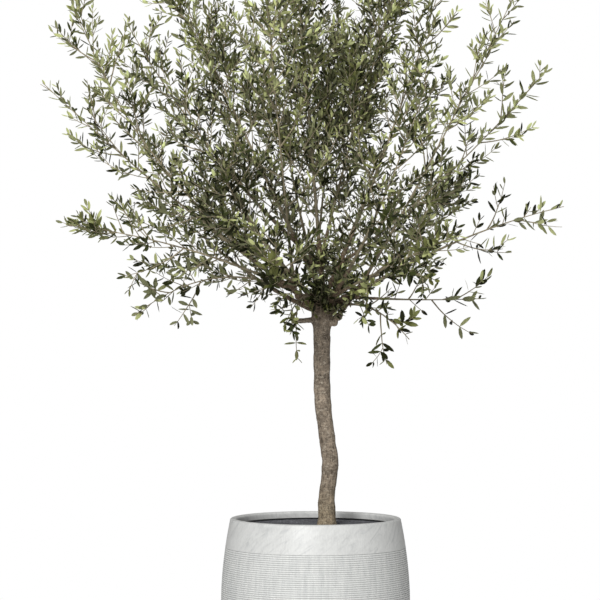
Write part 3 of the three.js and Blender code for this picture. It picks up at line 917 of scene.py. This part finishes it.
class Finish:
    """A material and the few kinds of node that these finishes are made of."""

    def __init__(self, name, roughness, specular):
        self.material = bpy.data.materials.new(name)
        self.material.use_nodes = True
        self.tree = self.material.node_tree
        self.shader = self.tree.nodes["Principled BSDF"]
        self.shader.inputs["Roughness"].default_value = roughness
        self.shader.inputs["Specular IOR Level"].default_value = specular

    def node(self, kind, inputs=None, **settings):
        made = self.tree.nodes.new(kind)
        for key, value in settings.items():
            setattr(made, key, value)
        for key, value in (inputs or {}).items():
            if isinstance(value, bpy.types.NodeSocket):
                self.tree.links.new(value, made.inputs[key])
            else:
                made.inputs[key].default_value = value
        return made

    def place(self, stretch=(1, 1, 1)):
        """Places on the piece, stretched for a pattern with a grain."""
        source = self.node("ShaderNodeTexCoord").outputs["Object"]
        return self.node("ShaderNodeMapping", {"Vector": source, "Scale": stretch}).outputs["Vector"]

    def noise(self, scale, stretch=(1, 1, 1), detail=3, distortion=0.0, roughness=0.5, place=None):
        """Noise from 0 to 1 over the piece, or over the places given."""
        inputs = {"Vector": place or self.place(stretch), "Scale": scale, "Detail": detail}
        inputs |= {"Roughness": roughness, "Distortion": distortion}
        return self.node("ShaderNodeTexNoise", inputs).outputs["Fac"]

    def height(self):
        """How high a place is above the pot's underside."""
        return self.node("ShaderNodeSeparateXYZ", {"Vector": self.place()}).outputs["Z"]

    def from_head(self):
        """How far a place is from the head of the trunk."""
        inputs = {0: self.place(), 1: HEAD}
        return self.node("ShaderNodeVectorMath", inputs, operation="DISTANCE").outputs["Value"]

    def ramp(self, factor, *stops):
        """Colours or greys spread along a factor, from stops of (position, colour)."""
        made = self.node("ShaderNodeValToRGB", {"Fac": factor})
        elements = made.color_ramp.elements
        while len(elements) < len(stops):
            elements.new(0.5)
        for element, (position, colour) in zip(elements, stops):
            is_grey = isinstance(colour, (int, float))
            element.position = position
            element.color = (colour, colour, colour, 1) if is_grey else (*colour, 1)
        return made.outputs["Color"]

    def maths(self, operation, first, second):
        """What two numbers or factors come to by an operation."""
        return self.node("ShaderNodeMath", {0: first, 1: second}, operation=operation).outputs["Value"]

    def mix(self, factor, first, second, blend="MIX"):
        made = self.node("ShaderNodeMix", data_type="RGBA", blend_type=blend)
        for key, value in ((0, factor), (6, first), (7, second)):
            if isinstance(value, bpy.types.NodeSocket):
                self.tree.links.new(value, made.inputs[key])
            else:
                made.inputs[key].default_value = value if key == 0 else (*value, 1)
        return made.outputs[2]

    def shaded(self, base, *factors):
        """A colour multiplied by some others or by greys."""
        for factor in factors:
            base = self.mix(1.0, base, factor, "MULTIPLY")
        return base

    def colour(self, socket):
        self.tree.links.new(socket, self.shader.inputs["Base Color"])
        return self

    def rough(self, socket):
        self.tree.links.new(socket, self.shader.inputs["Roughness"])

    def bump(self, height, depth, strength):
        made = self.node("ShaderNodeBump", {"Height": height, "Distance": depth, "Strength": strength})
        self.tree.links.new(made.outputs["Normal"], self.shader.inputs["Normal"])
        return self


def tint(colour, factor):
    """A colour made lighter or darker."""
    return tuple(min(1.0, channel * factor) for channel in colour)


# Settings

def as_amount(name, description, default, **more):
    return FloatProperty(name=name, description=description, default=default, min=0, **more)


def as_length(name, description, default):
    return as_amount(name, description, default, unit="LENGTH", precision=4)


def as_share(name, description, default):
    return as_amount(name, description, default, max=1, subtype="FACTOR")


def as_colour(name, description, default):
    return FloatVectorProperty(
        name=name, description=description, default=default, min=0, max=1, subtype="COLOR",
    )


class OlivePot(bpy.types.PropertyGroup):
    band_height: as_length("Band height", "How tall the smooth band under the rim is", 0.077)
    rib_pitch: as_length("Rib pitch", "From one rib of the pot's side to the next", 0.0054)
    rib_depth: as_length("Rib depth", "How deep the grooves between ribs are", 0.0014)
    lip: as_length("Lip rounding", "Radius of the rounded edges of the rim", 0.006)
    segments: IntProperty(name="Segments", description="Faces round the pot", default=160, min=24)
    light: as_colour("Light stone", "The palest streaks of the pot's stone", (0.72, 0.725, 0.705))
    dark: as_colour("Dark stone", "The greyest streaks of the pot's stone", (0.575, 0.585, 0.575))
    # Dark grooves: how much painted shade darkens the grooves between the ribs
    grooves: as_share("Dark grooves", "How much darker the grooves between the ribs are", 0.5)


class OliveSoil(bpy.types.PropertyGroup):
    crumb: as_length("Crumb height", "How far the crumbs of soil stand up", 0.0022)
    crumbs: IntProperty(name="Crumbs", description="Loose crumbs on the soil", default=800, min=0)
    dark: as_colour("Damp soil", "The darkest soil", (0.046, 0.047, 0.053))
    pale: as_colour("Dry soil", "The driest crumbs", (0.27, 0.275, 0.30))


class OliveBark(bpy.types.PropertyGroup):
    voxel: as_length("Voxel", "Size of the faces that the limbs are joined in", 0.0022)
    lumps: as_length("Lumps", "How far the trunk swells and dips along its length", 0.0016)
    ridges: as_length("Ridges", "How far the fine upright ridges stand up", 0.0008)
    dark: as_colour("Dark bark", "Bark in the furrows", (0.070, 0.054, 0.040))
    bark: as_colour("Bark", "Most of the bark", (0.235, 0.192, 0.146))
    fleck: as_colour("Flecks", "The pale flecks on the bark", (0.40, 0.35, 0.28))
    sawn: as_colour("Sawn wood", "The cut ends of the stubs", (0.34, 0.24, 0.14))
    twig: as_colour("Twig", "The bark of the young twigs", (0.30, 0.255, 0.165))


class OliveCrown(bpy.types.PropertyGroup):
    leaf_length: as_length("Leaf length", "Length of a full-grown leaf", 0.0365)
    leaf_slimness: as_share("Leaf slimness", "Width of a leaf as a share of its length", 0.250)
    pair_spacing: as_length("Pair spacing", "From one pair of leaves to the next along a shoot", 0.0160)
    young_reach: as_length("Young reach", "How much of a shoot's tip can have young leaves", 0.040)
    missing: as_share("Missing leaves", "The share of leaves that have fallen", 0.08)
    deep: as_colour("Deep leaf", "Upper side of the darkest leaves", (0.016, 0.018, 0.005))
    green: as_colour("Green leaf", "Upper side of most leaves", (0.039, 0.047, 0.013))
    olive: as_colour("Olive leaf", "Upper side of the greyer leaves", (0.137, 0.146, 0.047))
    pale: as_colour("Pale leaf", "Upper side of the palest leaves", (0.410, 0.438, 0.190))
    young: as_colour("Young leaf", "Upper side of the young leaves at the tips", (0.500, 0.550, 0.250))
    underside: as_colour("Underside", "The silvery underside of a leaf", (0.350, 0.362, 0.198))


class OliveStage(bpy.types.PropertyGroup):
    key: as_amount("Key light", "Power of the soft light at the front left", 288)
    fill: as_amount("Fill light", "Power of the soft light at the right", 14)
    top: as_amount("Top light", "Power of the soft light overhead", 50)
    sky: as_amount("Ambient", "Strength of the light from all round", 0.25)
    floor: as_colour("Floor", "The plain pale floor", (0.85, 0.85, 0.85))


# Pot

def barrel_radius(height):
    above = height > BELLY_HEIGHT
    end = RIM_RADIUS if above else FOOT_RADIUS
    span = POT_HEIGHT - BELLY_HEIGHT if above else BELLY_HEIGHT
    return BELLY_RADIUS - (BELLY_RADIUS - end) * (abs(height - BELLY_HEIGHT) / span) ** ROUNDNESS


def arc(centre, radius, first, last, steps):
    """Points of an arc in an outline, from one bearing to another."""
    turns = [math.radians(bearing) for bearing in even(first, last, steps)]
    return [(centre[0] + radius * math.cos(turn), centre[1] + radius * math.sin(turn)) for turn in turns]


def rib_count(pot):
    return nearest_whole((POT_HEIGHT - pot.band_height - RIBS_LOW) / pot.rib_pitch)


def pot_outline(pot):
    """The outline of the pot's wall, from the middle of its underside round to the middle of its floor."""
    band_low = POT_HEIGHT - pot.band_height
    lip_low = POT_HEIGHT - pot.lip
    ribs = rib_count(pot)
    outline = [(0, 0), (FOOT_RING, 0)]
    outline += arc((barrel_radius(POT_EDGE) - POT_EDGE, POT_EDGE), POT_EDGE, -90, 0, steps=5)
    for rib in range(ribs):
        for phase in GROOVE_POINTS:
            height = lerp(RIBS_LOW, band_low, (rib + phase) / ribs)
            groove = pot.rib_depth * (1 - math.sin(math.pi * phase) ** GROOVE_ROUNDNESS)
            outline.append((barrel_radius(height) - groove, height))
    outline.append((barrel_radius(band_low) - pot.rib_depth * LAST_GROOVE, band_low))
    outline += [(barrel_radius(height), height) for height in even(band_low + BAND_START, lip_low, steps=10)]
    outer = barrel_radius(lip_low)
    outline += arc((outer - pot.lip, lip_low), pot.lip, 0, 90, steps=6)[1:]
    outline += arc((outer - WALL + pot.lip, lip_low), pot.lip, 90, 180, steps=6)
    inner = even(POT_HEIGHT - 2 * pot.lip, FLOOR, steps=12)
    outline += [(barrel_radius(height) - WALL, height) for height in inner]
    return [*outline, (0, FLOOR)]


def stone_finish(pot):
    """Pale grey stone: slanting swirls on the band, and upright streaks and painted shade in the grooves on
    the ribs.
    """
    finish = Finish("pot stone", roughness=0.6, specular=0.4)
    height = finish.height()
    twist = {"Vector": finish.place(), "Angle": finish.maths("MULTIPLY", height, SWIRL_TURN)}
    twisted = finish.node("ShaderNodeVectorRotate", twist, rotation_type="Z_AXIS").outputs["Vector"]
    slanted = finish.node("ShaderNodeMapping", {"Vector": twisted, "Scale": SWIRL_SCALE}).outputs["Vector"]
    swirls = finish.noise(1.0, place=slanted, detail=5, distortion=2.8, roughness=0.62)
    upright = finish.noise(2.0, (60, 60, 5), detail=4, distortion=0.3)
    brushed = finish.noise(1.0, (330, 330, 14))
    fine = finish.noise(260, (1, 1, 0.5))
    band = finish.ramp(swirls, (0.30, tint(pot.dark, 0.95)), (0.46, tint(pot.light, 0.93)), (0.66, pot.light))
    streaks = finish.ramp(upright, (0.25, tint(pot.dark, 1.05)), (0.75, tint(pot.light, 1.06)))
    band_low = POT_HEIGHT - pot.band_height
    is_band = finish.maths("GREATER_THAN", height, band_low)
    pitch = (band_low - RIBS_LOW) / rib_count(pot)
    climbed = finish.maths("DIVIDE", finish.maths("SUBTRACT", height, RIBS_LOW), pitch)
    # Painted shade: darkest in the middle of each groove between the ribs, none on the band
    off_painted_groove_shade = finish.maths("MULTIPLY", finish.maths("PINGPONG", climbed, 0.5), GROOVE_PAINTED_SHADE)
    finish.colour(finish.shaded(
        finish.mix(is_band, streaks, finish.shaded(band, BAND_SHADE)),
        finish.ramp(brushed, (0.30, 0.93), (0.55, 1.0)),
        finish.ramp(fine, (0.25, 0.91), (0.7, 1.0)),
        finish.ramp(finish.maths("MAXIMUM", off_painted_groove_shade, is_band), (0.0, 1 - pot.grooves), (1.0, 1.0)),
    ))
    finish.rough(finish.mix(is_band, finish.ramp(fine, (0.2, 0.50), (0.8, 0.68)), BAND_ROUGHNESS))
    return finish.bump(fine, depth=0.0004, strength=0.4).material


class OLIVE_OT_pot(bpy.types.Operator):
    """Turn the ribbed barrel pot"""

    bl_idname = "olive.pot"
    bl_label = "Pot"

    def execute(self, context):
        pot = context.scene.olive_pot
        mesh = mesh_from(turned(pot_outline(pot), pot.segments), "pot_ribbed")
        mesh.shade_smooth()
        mesh.set_sharp_from_angle(angle=math.radians(POT_SHARP_ANGLE))
        add_piece("pot_ribbed", mesh, [stone_finish(pot)], ["pot"])
        return {"FINISHED"}


# Soil

def soil_edge():
    """The radius of the soil's edge, where it meets the pot's wall."""
    return barrel_radius(SOIL_HIGH.z) - WALL - (SOIL_LOW.z - FLOOR)


def soil_outline():
    """The outline of the soil, from the middle of the pot's floor, up its wall and back along the top."""
    gap = SOIL_LOW.z - FLOOR
    top = SOIL_HIGH.z
    crest = top + SOIL_RIM_RISE
    edge = soil_edge()
    heights = even(SOIL_LOW.z, top - POT_EDGE, steps=8)
    side = [(barrel_radius(height) - WALL - gap, height) for height in heights]
    rim = [(edge, crest), (edge - SOIL_RIM / 2, crest), (edge - SOIL_RIM, top - SOIL_RIM_DIP)]
    rings = [((edge - SOIL_LEVEL * SOIL_RIM) * (1 - i / SOIL_RINGS), top) for i in range(SOIL_RINGS)]
    return [(0, SOIL_LOW.z), *side, *rim, *rings, (0, top)]


def crumble(bm, soil):
    """Raise and sink the top of the soil, and scatter loose crumbs over it."""
    top = SOIL_HIGH.z
    for corner in bm.verts:
        if abs(corner.co.z - top) < SOIL_NEAR:
            corner.co.z += soil.crumb * SOIL_WAVE * waves(corner.co, SOIL_WAVES) - soil.crumb * SOIL_SINK
    reach = barrel_radius(top) - WALL - CRUMB_MARGIN
    draws = Draws(*CRUMB_SEEDS)
    for _ in range(soil.crumbs):
        away = reach * math.sqrt(draws.next())
        bearing = draws.between(0, math.tau)
        size = draws.between(*CRUMB_SIZES)
        place = Vector((away * math.cos(bearing), away * math.sin(bearing), top - soil.crumb * CRUMB_DEPTH))
        turn = Matrix.Rotation(draws.between(0, math.tau), 4, "X")
        turn = turn @ Matrix.Rotation(draws.between(0, CRUMB_ROLL), 4, "Y")
        widths = draws.between(*CRUMB_WIDTHS), draws.between(*CRUMB_WIDTHS)
        squash = Matrix.Diagonal((*widths, draws.between(*CRUMB_HEIGHTS), 1))
        matrix = Matrix.Translation(place) @ turn @ squash
        bmesh.ops.create_icosphere(bm, subdivisions=1, radius=size, matrix=matrix)


def soil_finish(soil):
    """Dark grit with paler crumbs, and near-black painted shadow on the rim against the pot's wall."""
    finish = Finish("soil grit", roughness=0.9, specular=0.4)
    lumps = finish.noise(120, detail=5, distortion=0.3, roughness=0.65)
    damp = finish.noise(9, detail=2)
    grit = finish.ramp(lumps, (0.35, soil.dark), (0.58, tint(soil.dark, 1.8)), (0.78, soil.pale))
    grit = finish.mix(finish.ramp(damp, (0.3, 0.0), (0.7, 0.5)), grit, tint(soil.pale, 0.8))
    level = finish.node("ShaderNodeVectorMath", {0: finish.place((1, 1, 0))}, operation="LENGTH")
    # Painted shadow: the soil's outermost ring, next to the wall, is coloured near black
    shadow_rim_from = soil_edge() - SOIL_RIM_SHADOW_REACH * SOIL_RIM
    is_shadow_rim = finish.maths("GREATER_THAN", level.outputs["Value"], shadow_rim_from)
    finish.colour(finish.mix(is_shadow_rim, grit, tint(soil.dark, 0.15)))
    return finish.bump(lumps, depth=0.002, strength=0.8).material


class OLIVE_OT_soil(bpy.types.Operator):
    """Fill the pot with dark gritty soil"""

    bl_idname = "olive.soil"
    bl_label = "Soil"

    def execute(self, context):
        soil = context.scene.olive_soil
        bm = turned(soil_outline(), SOIL_SEGMENTS)
        crumble(bm, soil)
        mesh = mesh_from(bm, "soil_grit")
        mesh.shade_smooth()
        mesh.set_sharp_from_angle(angle=math.radians(SOIL_SHARP_ANGLE))
        add_piece("soil_grit", mesh, [soil_finish(soil)], ["soil"])
        return {"FINISHED"}


# Bark

def smooth_rows(rows, steps):
    """Rows of numbers on a smooth line through the given rows."""
    padded = np.vstack([2 * rows[0] - rows[1], rows, 2 * rows[-1] - rows[-2]])
    made = []
    for before, first, last, after in zip(padded, padded[1:], padded[2:], padded[3:]):
        for i in range(steps):
            t = i / steps
            bend = 2 * before - 5 * first + 4 * last - after
            twist = 3 * first - before - 3 * last + after
            made.append((2 * first + (last - before) * t + bend * t**2 + twist * t**3) / 2)
    return np.array([*made, rows[-1]])


def tapered(line, first, last):
    """Rows of (x, y, z, radius) along a line."""
    return np.column_stack([line, np.linspace(first, last, len(line))])


def stub_rows(height, bearing, rise, reach, radius):
    out = leaning(level_heading(bearing), 90, rise)
    line = np.array([trunk_at(height) + out * reach * i / STUB_STEPS for i in range(STUB_STEPS + 1)])
    return tapered(line, radius + STUB_TAPER, radius)


def limb_rows():
    """Every limb that the bark covers: the trunk, its stubs and the boughs."""
    trunk = smooth_rows(np.array([(x, y, z, radius) for z, x, y, radius in TRUNK_LINE]), steps=6)
    boughs = zip(BOUGH_LINES, BOUGH_RADII)
    return [
        trunk,
        *(stub_rows(*stub) for stub in STUBS),
        *(tapered(line, radius, radius * BOUGH_TAPER) for line, radius in boughs),
    ]


def bark_relief(place, bark):
    """How far the bark stands out at a place: slow lumps, upright ridges and small level scars."""
    ridges = noise.noise(place * RIDGE_SCALE)
    scars = max(0.0, noise.noise(place * SCAR_SCALE) - SCAR_LEAST)
    return bark.lumps * waves(place, LUMP_WAVES) + bark.ridges * (ridges + SCAR_SHARE * scars)


def join_limbs(bark):
    """One skin over all the limbs and knots."""
    mesh = tubes("bark", limb_rows(), resolution=4)
    bm = bmesh.new()
    bm.from_mesh(mesh)
    for x, y, z, radius in KNOTS:
        bmesh.ops.create_icosphere(bm, subdivisions=2, radius=radius, matrix=Matrix.Translation((x, y, z)))
    bm.to_mesh(mesh)
    bm.free()
    holder = bpy.data.objects.new("bark", mesh)
    bpy.context.collection.objects.link(holder)
    remesh = holder.modifiers.new("Skin", "REMESH")
    remesh.mode = "VOXEL"
    remesh.voxel_size = bark.voxel
    soften = holder.modifiers.new("Soften", "SMOOTH")
    soften.factor = 0.5
    soften.iterations = 4
    return finished(holder)


def carve(mesh, bark):
    """Move the skin out and in along its normals by the bark's relief, less on thin limbs."""
    places = np.empty(len(mesh.vertices) * 3, np.float32)
    normals = np.empty_like(places)
    mesh.vertices.foreach_get("co", places)
    mesh.vertex_normals.foreach_get("vector", normals)
    places, normals = places.reshape(-1, 3), normals.reshape(-1, 3)
    near_trunk = gaps(TRUNK_POINTS, places.astype(float))[:, 0] < TRUNK_WIDEST * TRUNK_REACH
    relief = np.array([bark_relief(Vector(place), bark) for place in places])
    relief *= np.where(near_trunk, 1.0, BOUGH_RELIEF)
    mesh.vertices.foreach_set("co", (places + normals * relief[:, None]).astype(np.float32).ravel())
    mesh.update()


def bark_finish(bark):
    """Grey-brown bark with darker furrows, mottled patches and pale flecks, and painted shade at the head of
    the trunk.
    """
    finish = Finish("olive bark", roughness=0.86, specular=0.3)
    height = finish.height()
    patches = finish.noise(48, (1, 1, 0.7), detail=5, distortion=0.8, roughness=0.6)
    furrows = finish.noise(1.0, (190, 190, 80), detail=4, distortion=0.5, roughness=0.6)
    specks = finish.noise(1.0, (105, 105, 190), distortion=0.5)
    bands = finish.noise(1.0, (24, 24, 150), detail=4, distortion=0.6, roughness=0.6)
    grains = finish.noise(330, roughness=0.6)
    dull, bright = tint(bark.bark, 0.70), tint(bark.bark, 1.35)
    base = finish.ramp(patches, (0.34, dull), (0.50, bark.bark), (0.66, bright))
    base = finish.mix(finish.ramp(furrows, (0.36, 0.75), (0.50, 0.0)), base, bark.dark)
    base = finish.mix(finish.ramp(specks, (0.55, 0.0), (0.66, 0.75)), base, bark.fleck)
    heights = {"Value": height, "From Min": HEAD_HEIGHTS[0], "From Max": HEAD_HEIGHTS[1]}
    is_high = finish.node("ShaderNodeMapRange", heights).outputs["Result"]
    trunk_shade = finish.ramp(height, *TRUNK_SHADES)
    # Painted shade: the bark turns darker and redder towards the head of the trunk, under the crown
    head_painted_shade = finish.ramp(finish.from_head(), *HEAD_PAINTED_SHADES)
    finish.colour(finish.shaded(
        base,
        finish.ramp(bands, (0.34, 0.74), (0.50, 1.0), (0.66, 1.18)),
        finish.ramp(grains, (0.36, 0.50), (0.46, 1.0), (0.70, 1.22)),
        finish.mix(is_high, trunk_shade, head_painted_shade),
    ))
    return finish.bump(furrows, depth=0.0012, strength=0.8).material


def sawn_finish(bark):
    finish = Finish("sawn wood", roughness=0.8, specular=0.3)
    rings = finish.noise(6.0, (60, 60, 60), distortion=1.0)
    finish.colour(finish.ramp(rings, (0.3, tint(bark.sawn, 0.6)), (0.7, bark.sawn)))
    return finish.bump(rings, depth=0.0005, strength=0.5).material


def mark_sawn_ends(mesh):
    """Give the cut ends of the stubs the finish of sawn wood."""
    centres = np.empty(len(mesh.polygons) * 3, np.float32)
    mesh.polygons.foreach_get("center", centres)
    centres = centres.reshape(-1, 3)
    slots = np.zeros(len(mesh.polygons), np.int32)
    for stub in STUBS:
        rows = stub_rows(*stub)
        end = rows[-1, :3]
        out = unit(end - rows[-2, :3])
        past = (centres - end) @ out
        away = np.linalg.norm(centres - end, axis=1)
        slots[(past > -SAWN_DEPTH) & (away < SAWN_REACH * rows[-1, 3])] = 1
    mesh.polygons.foreach_set("material_index", slots)


class OLIVE_OT_bark(bpy.types.Operator):
    """Skin the trunk, its stubs and the boughs with bark"""

    bl_idname = "olive.bark"
    bl_label = "Bark"

    def execute(self, context):
        bark = context.scene.olive_bark
        mesh = join_limbs(bark)
        mark_sawn_ends(mesh)
        carve(mesh, bark)
        mesh.shade_smooth()
        nodes = ["trunk", *("bough_" + name for name in LEADERS_BY_NAME)]
        add_piece("trunk_and_boughs", mesh, [bark_finish(bark), sawn_finish(bark)], nodes)
        return {"FINISHED"}


# Crown

def leaf_finish(name, colour, roughness, specular):
    """A leaf's plain colour, a little uneven."""
    finish = Finish(name, roughness, specular)
    blotches = finish.noise(45, detail=2)
    return finish.colour(finish.ramp(blotches, (0.3, tint(colour, 0.84)), (0.7, tint(colour, 1.16)))).material


def leaf_finishes(crown):
    """The upper side and the underside of each tone, in the order of their slots."""
    made = []
    for name in [*(tone for tone, _ in TONES), "young"]:
        upper = getattr(crown, name)
        under = [lerp(a, b, 0.5) for a, b in zip(crown.underside, upper)]
        made.append(leaf_finish("leaf " + name, upper, roughness=0.5, specular=0.13))
        made.append(leaf_finish("leaf underside " + name, under, roughness=0.8, specular=0.15))
    return made


def twig_finish(bark):
    """The twigs' young bark, in patches, with painted shade near the head."""
    finish = Finish("twig bark", roughness=0.75, specular=0.35)
    patches = finish.noise(55)
    base = finish.ramp(patches, (0.3, tint(bark.twig, 0.62)), (0.55, bark.twig), (0.75, tint(bark.twig, 1.3)))
    # Painted shade: the twigs turn darker towards the head of the trunk, under the crown
    finish.colour(finish.shaded(base, finish.ramp(finish.from_head(), (0.15, 0.70), (0.50, 1.0))))
    return finish.bump(patches, depth=0.0004, strength=0.5).material


def twig_rows(twig):
    """Rows of (x, y, z, radius) along a twig. A stem starts in its bough and soon grows thin."""
    if not twig.is_stem:
        return tapered(twig.line, twig.radius, twig.tip_radius)
    line = np.vstack([twig.line[0] - unit(twig.line[1] - twig.line[0]) * STEM_ROOT_DEPTH, twig.line])
    shares = np.linspace(1, 0, len(line)) ** STEM_TAPER
    return np.column_stack([line, lerp(twig.tip_radius, twig.radius, shares)])


class OLIVE_OT_crown(bpy.types.Operator):
    """Grow the twigs and leaves of every mass, one side of the crown after another"""

    bl_idname = "olive.crown"
    bl_label = "Crown"

    def execute(self, context):
        crown, bark = context.scene.olive_crown, context.scene.olive_bark
        leaf_materials = leaf_finishes(crown)
        twig_materials = [twig_finish(bark), bark_finish(bark)]
        for side, masses in CROWN_SIDES.items():
            growths = [(LEADERS_BY_NAME[name], twigs_of(LEADERS_BY_NAME[name])) for name in masses]
            if side == HEAD_SIDE:
                growths.append((HEAD_LEADER, head_shoots()))
            nodes = ["foliage_" + name for name in masses]
            twigs = [twig for _, growth in growths for twig in growth]
            slots = [int(twig.is_stem) for twig in twigs]
            twig_mesh = tubes("twigs_" + side, [twig_rows(twig) for twig in twigs], resolution=1, slots=slots)
            twig_mesh.shade_smooth()
            add_piece("twigs_" + side, twig_mesh, twig_materials, nodes)
            leaves = [leaves_of(leader, growth, crown) for leader, growth in growths]
            all_leaves = Leaves(*(np.concatenate(columns) for columns in zip(*leaves)))
            leaf_mesh = blade_mesh("leaves_" + side, all_leaves)
            add_piece("leaves_" + side, leaf_mesh, leaf_materials, nodes)
        return {"FINISHED"}


# Stage

def add_light(name, place, size, power):
    light = bpy.data.lights.new(name, "AREA")
    light.shape = "SQUARE"
    light.size = size
    light.energy = power
    holder = bpy.data.objects.new(name, light)
    bpy.context.collection.objects.link(holder)
    holder.location = place
    holder.rotation_euler = (LIGHT_AIM - Vector(place)).to_track_quat("-Z", "Y").to_euler()


def add_world(ambient):
    """Even light from all round, in front of a white backdrop."""
    world = bpy.data.worlds.new("studio")
    world.use_nodes = True
    nodes, links = world.node_tree.nodes, world.node_tree.links
    light = nodes["Background"]
    light.inputs["Color"].default_value = (1, 1, 1, 1)
    light.inputs["Strength"].default_value = ambient
    backdrop = nodes.new("ShaderNodeBackground")
    backdrop.inputs["Color"].default_value = (1, 1, 1, 1)
    backdrop.inputs["Strength"].default_value = 1.0
    seen = nodes.new("ShaderNodeLightPath")
    mix = nodes.new("ShaderNodeMixShader")
    links.new(seen.outputs["Is Camera Ray"], mix.inputs["Fac"])
    links.new(light.outputs["Background"], mix.inputs[1])
    links.new(backdrop.outputs["Background"], mix.inputs[2])
    links.new(mix.outputs["Shader"], nodes["World Output"].inputs["Surface"])
    bpy.context.scene.world = world


class OLIVE_OT_stage(bpy.types.Operator):
    """Set up the pale floor, the soft lights and the camera"""

    bl_idname = "olive.stage"
    bl_label = "Stage"

    def execute(self, context):
        stage = context.scene.olive_stage
        bm = bmesh.new()
        bmesh.ops.create_circle(bm, cap_ends=True, segments=96, radius=FLOOR_RADIUS)
        floor = bpy.data.objects.new("floor", mesh_from(bm, "floor"))
        context.collection.objects.link(floor)
        finish = Finish("floor", roughness=0.9, specular=0.2)
        grain = finish.noise(3, detail=2)
        finish.colour(finish.ramp(grain, (0.3, tint(stage.floor, 0.99)), (0.7, stage.floor)))
        floor.data.materials.append(finish.material)
        for name, (place, width) in LIGHTS.items():
            add_light(name, place, width, getattr(stage, name))
        add_world(stage.sky)
        lens = bpy.data.cameras.new("camera")
        lens.lens = CAMERA_LENS
        lens.sensor_width = CAMERA_SENSOR
        lens.clip_end = CAMERA_REACH
        camera = bpy.data.objects.new("camera", lens)
        context.collection.objects.link(camera)
        camera.location = CAMERA_PLACE
        camera.rotation_euler = (math.pi / 2, 0, 0)
        context.scene.camera = camera
        context.scene.view_settings.view_transform = "Standard"
        return {"FINISHED"}


class OLIVE_PT_panel(bpy.types.Panel):
    """Sizes and colours of the olive tree, and a button for each of its pieces"""

    bl_idname = "OLIVE_PT_panel"
    bl_label = "Olive tree"
    bl_space_type = "VIEW_3D"
    bl_region_type = "UI"
    bl_category = "Olive tree"

    def draw(self, context):
        for operator, _, name in STEPS:
            box = self.layout.box()
            box.operator(operator.bl_idname)
            settings = getattr(context.scene, name)
            for setting in settings.__annotations__:
                box.prop(settings, setting)


# Each operator, its group of settings and the name that the scene has them under
STEPS = [
    (OLIVE_OT_pot, OlivePot, "olive_pot"),
    (OLIVE_OT_soil, OliveSoil, "olive_soil"),
    (OLIVE_OT_bark, OliveBark, "olive_bark"),
    (OLIVE_OT_crown, OliveCrown, "olive_crown"),
    (OLIVE_OT_stage, OliveStage, "olive_stage"),
]


def register():
    for operator, group, name in STEPS:
        bpy.utils.register_class(group)
        setattr(bpy.types.Scene, name, PointerProperty(type=group))
        bpy.utils.register_class(operator)
    bpy.utils.register_class(OLIVE_PT_panel)


def unregister():
    bpy.utils.unregister_class(OLIVE_PT_panel)
    for operator, group, name in reversed(STEPS):
        bpy.utils.unregister_class(operator)
        delattr(bpy.types.Scene, name)
        bpy.utils.unregister_class(group)


def main():
    register()
    bpy.ops.olive.pot()
    bpy.ops.olive.soil()
    bpy.ops.olive.bark()
    bpy.ops.olive.crown()
    bpy.ops.olive.stage()


if __name__ == "__main__":
    main()
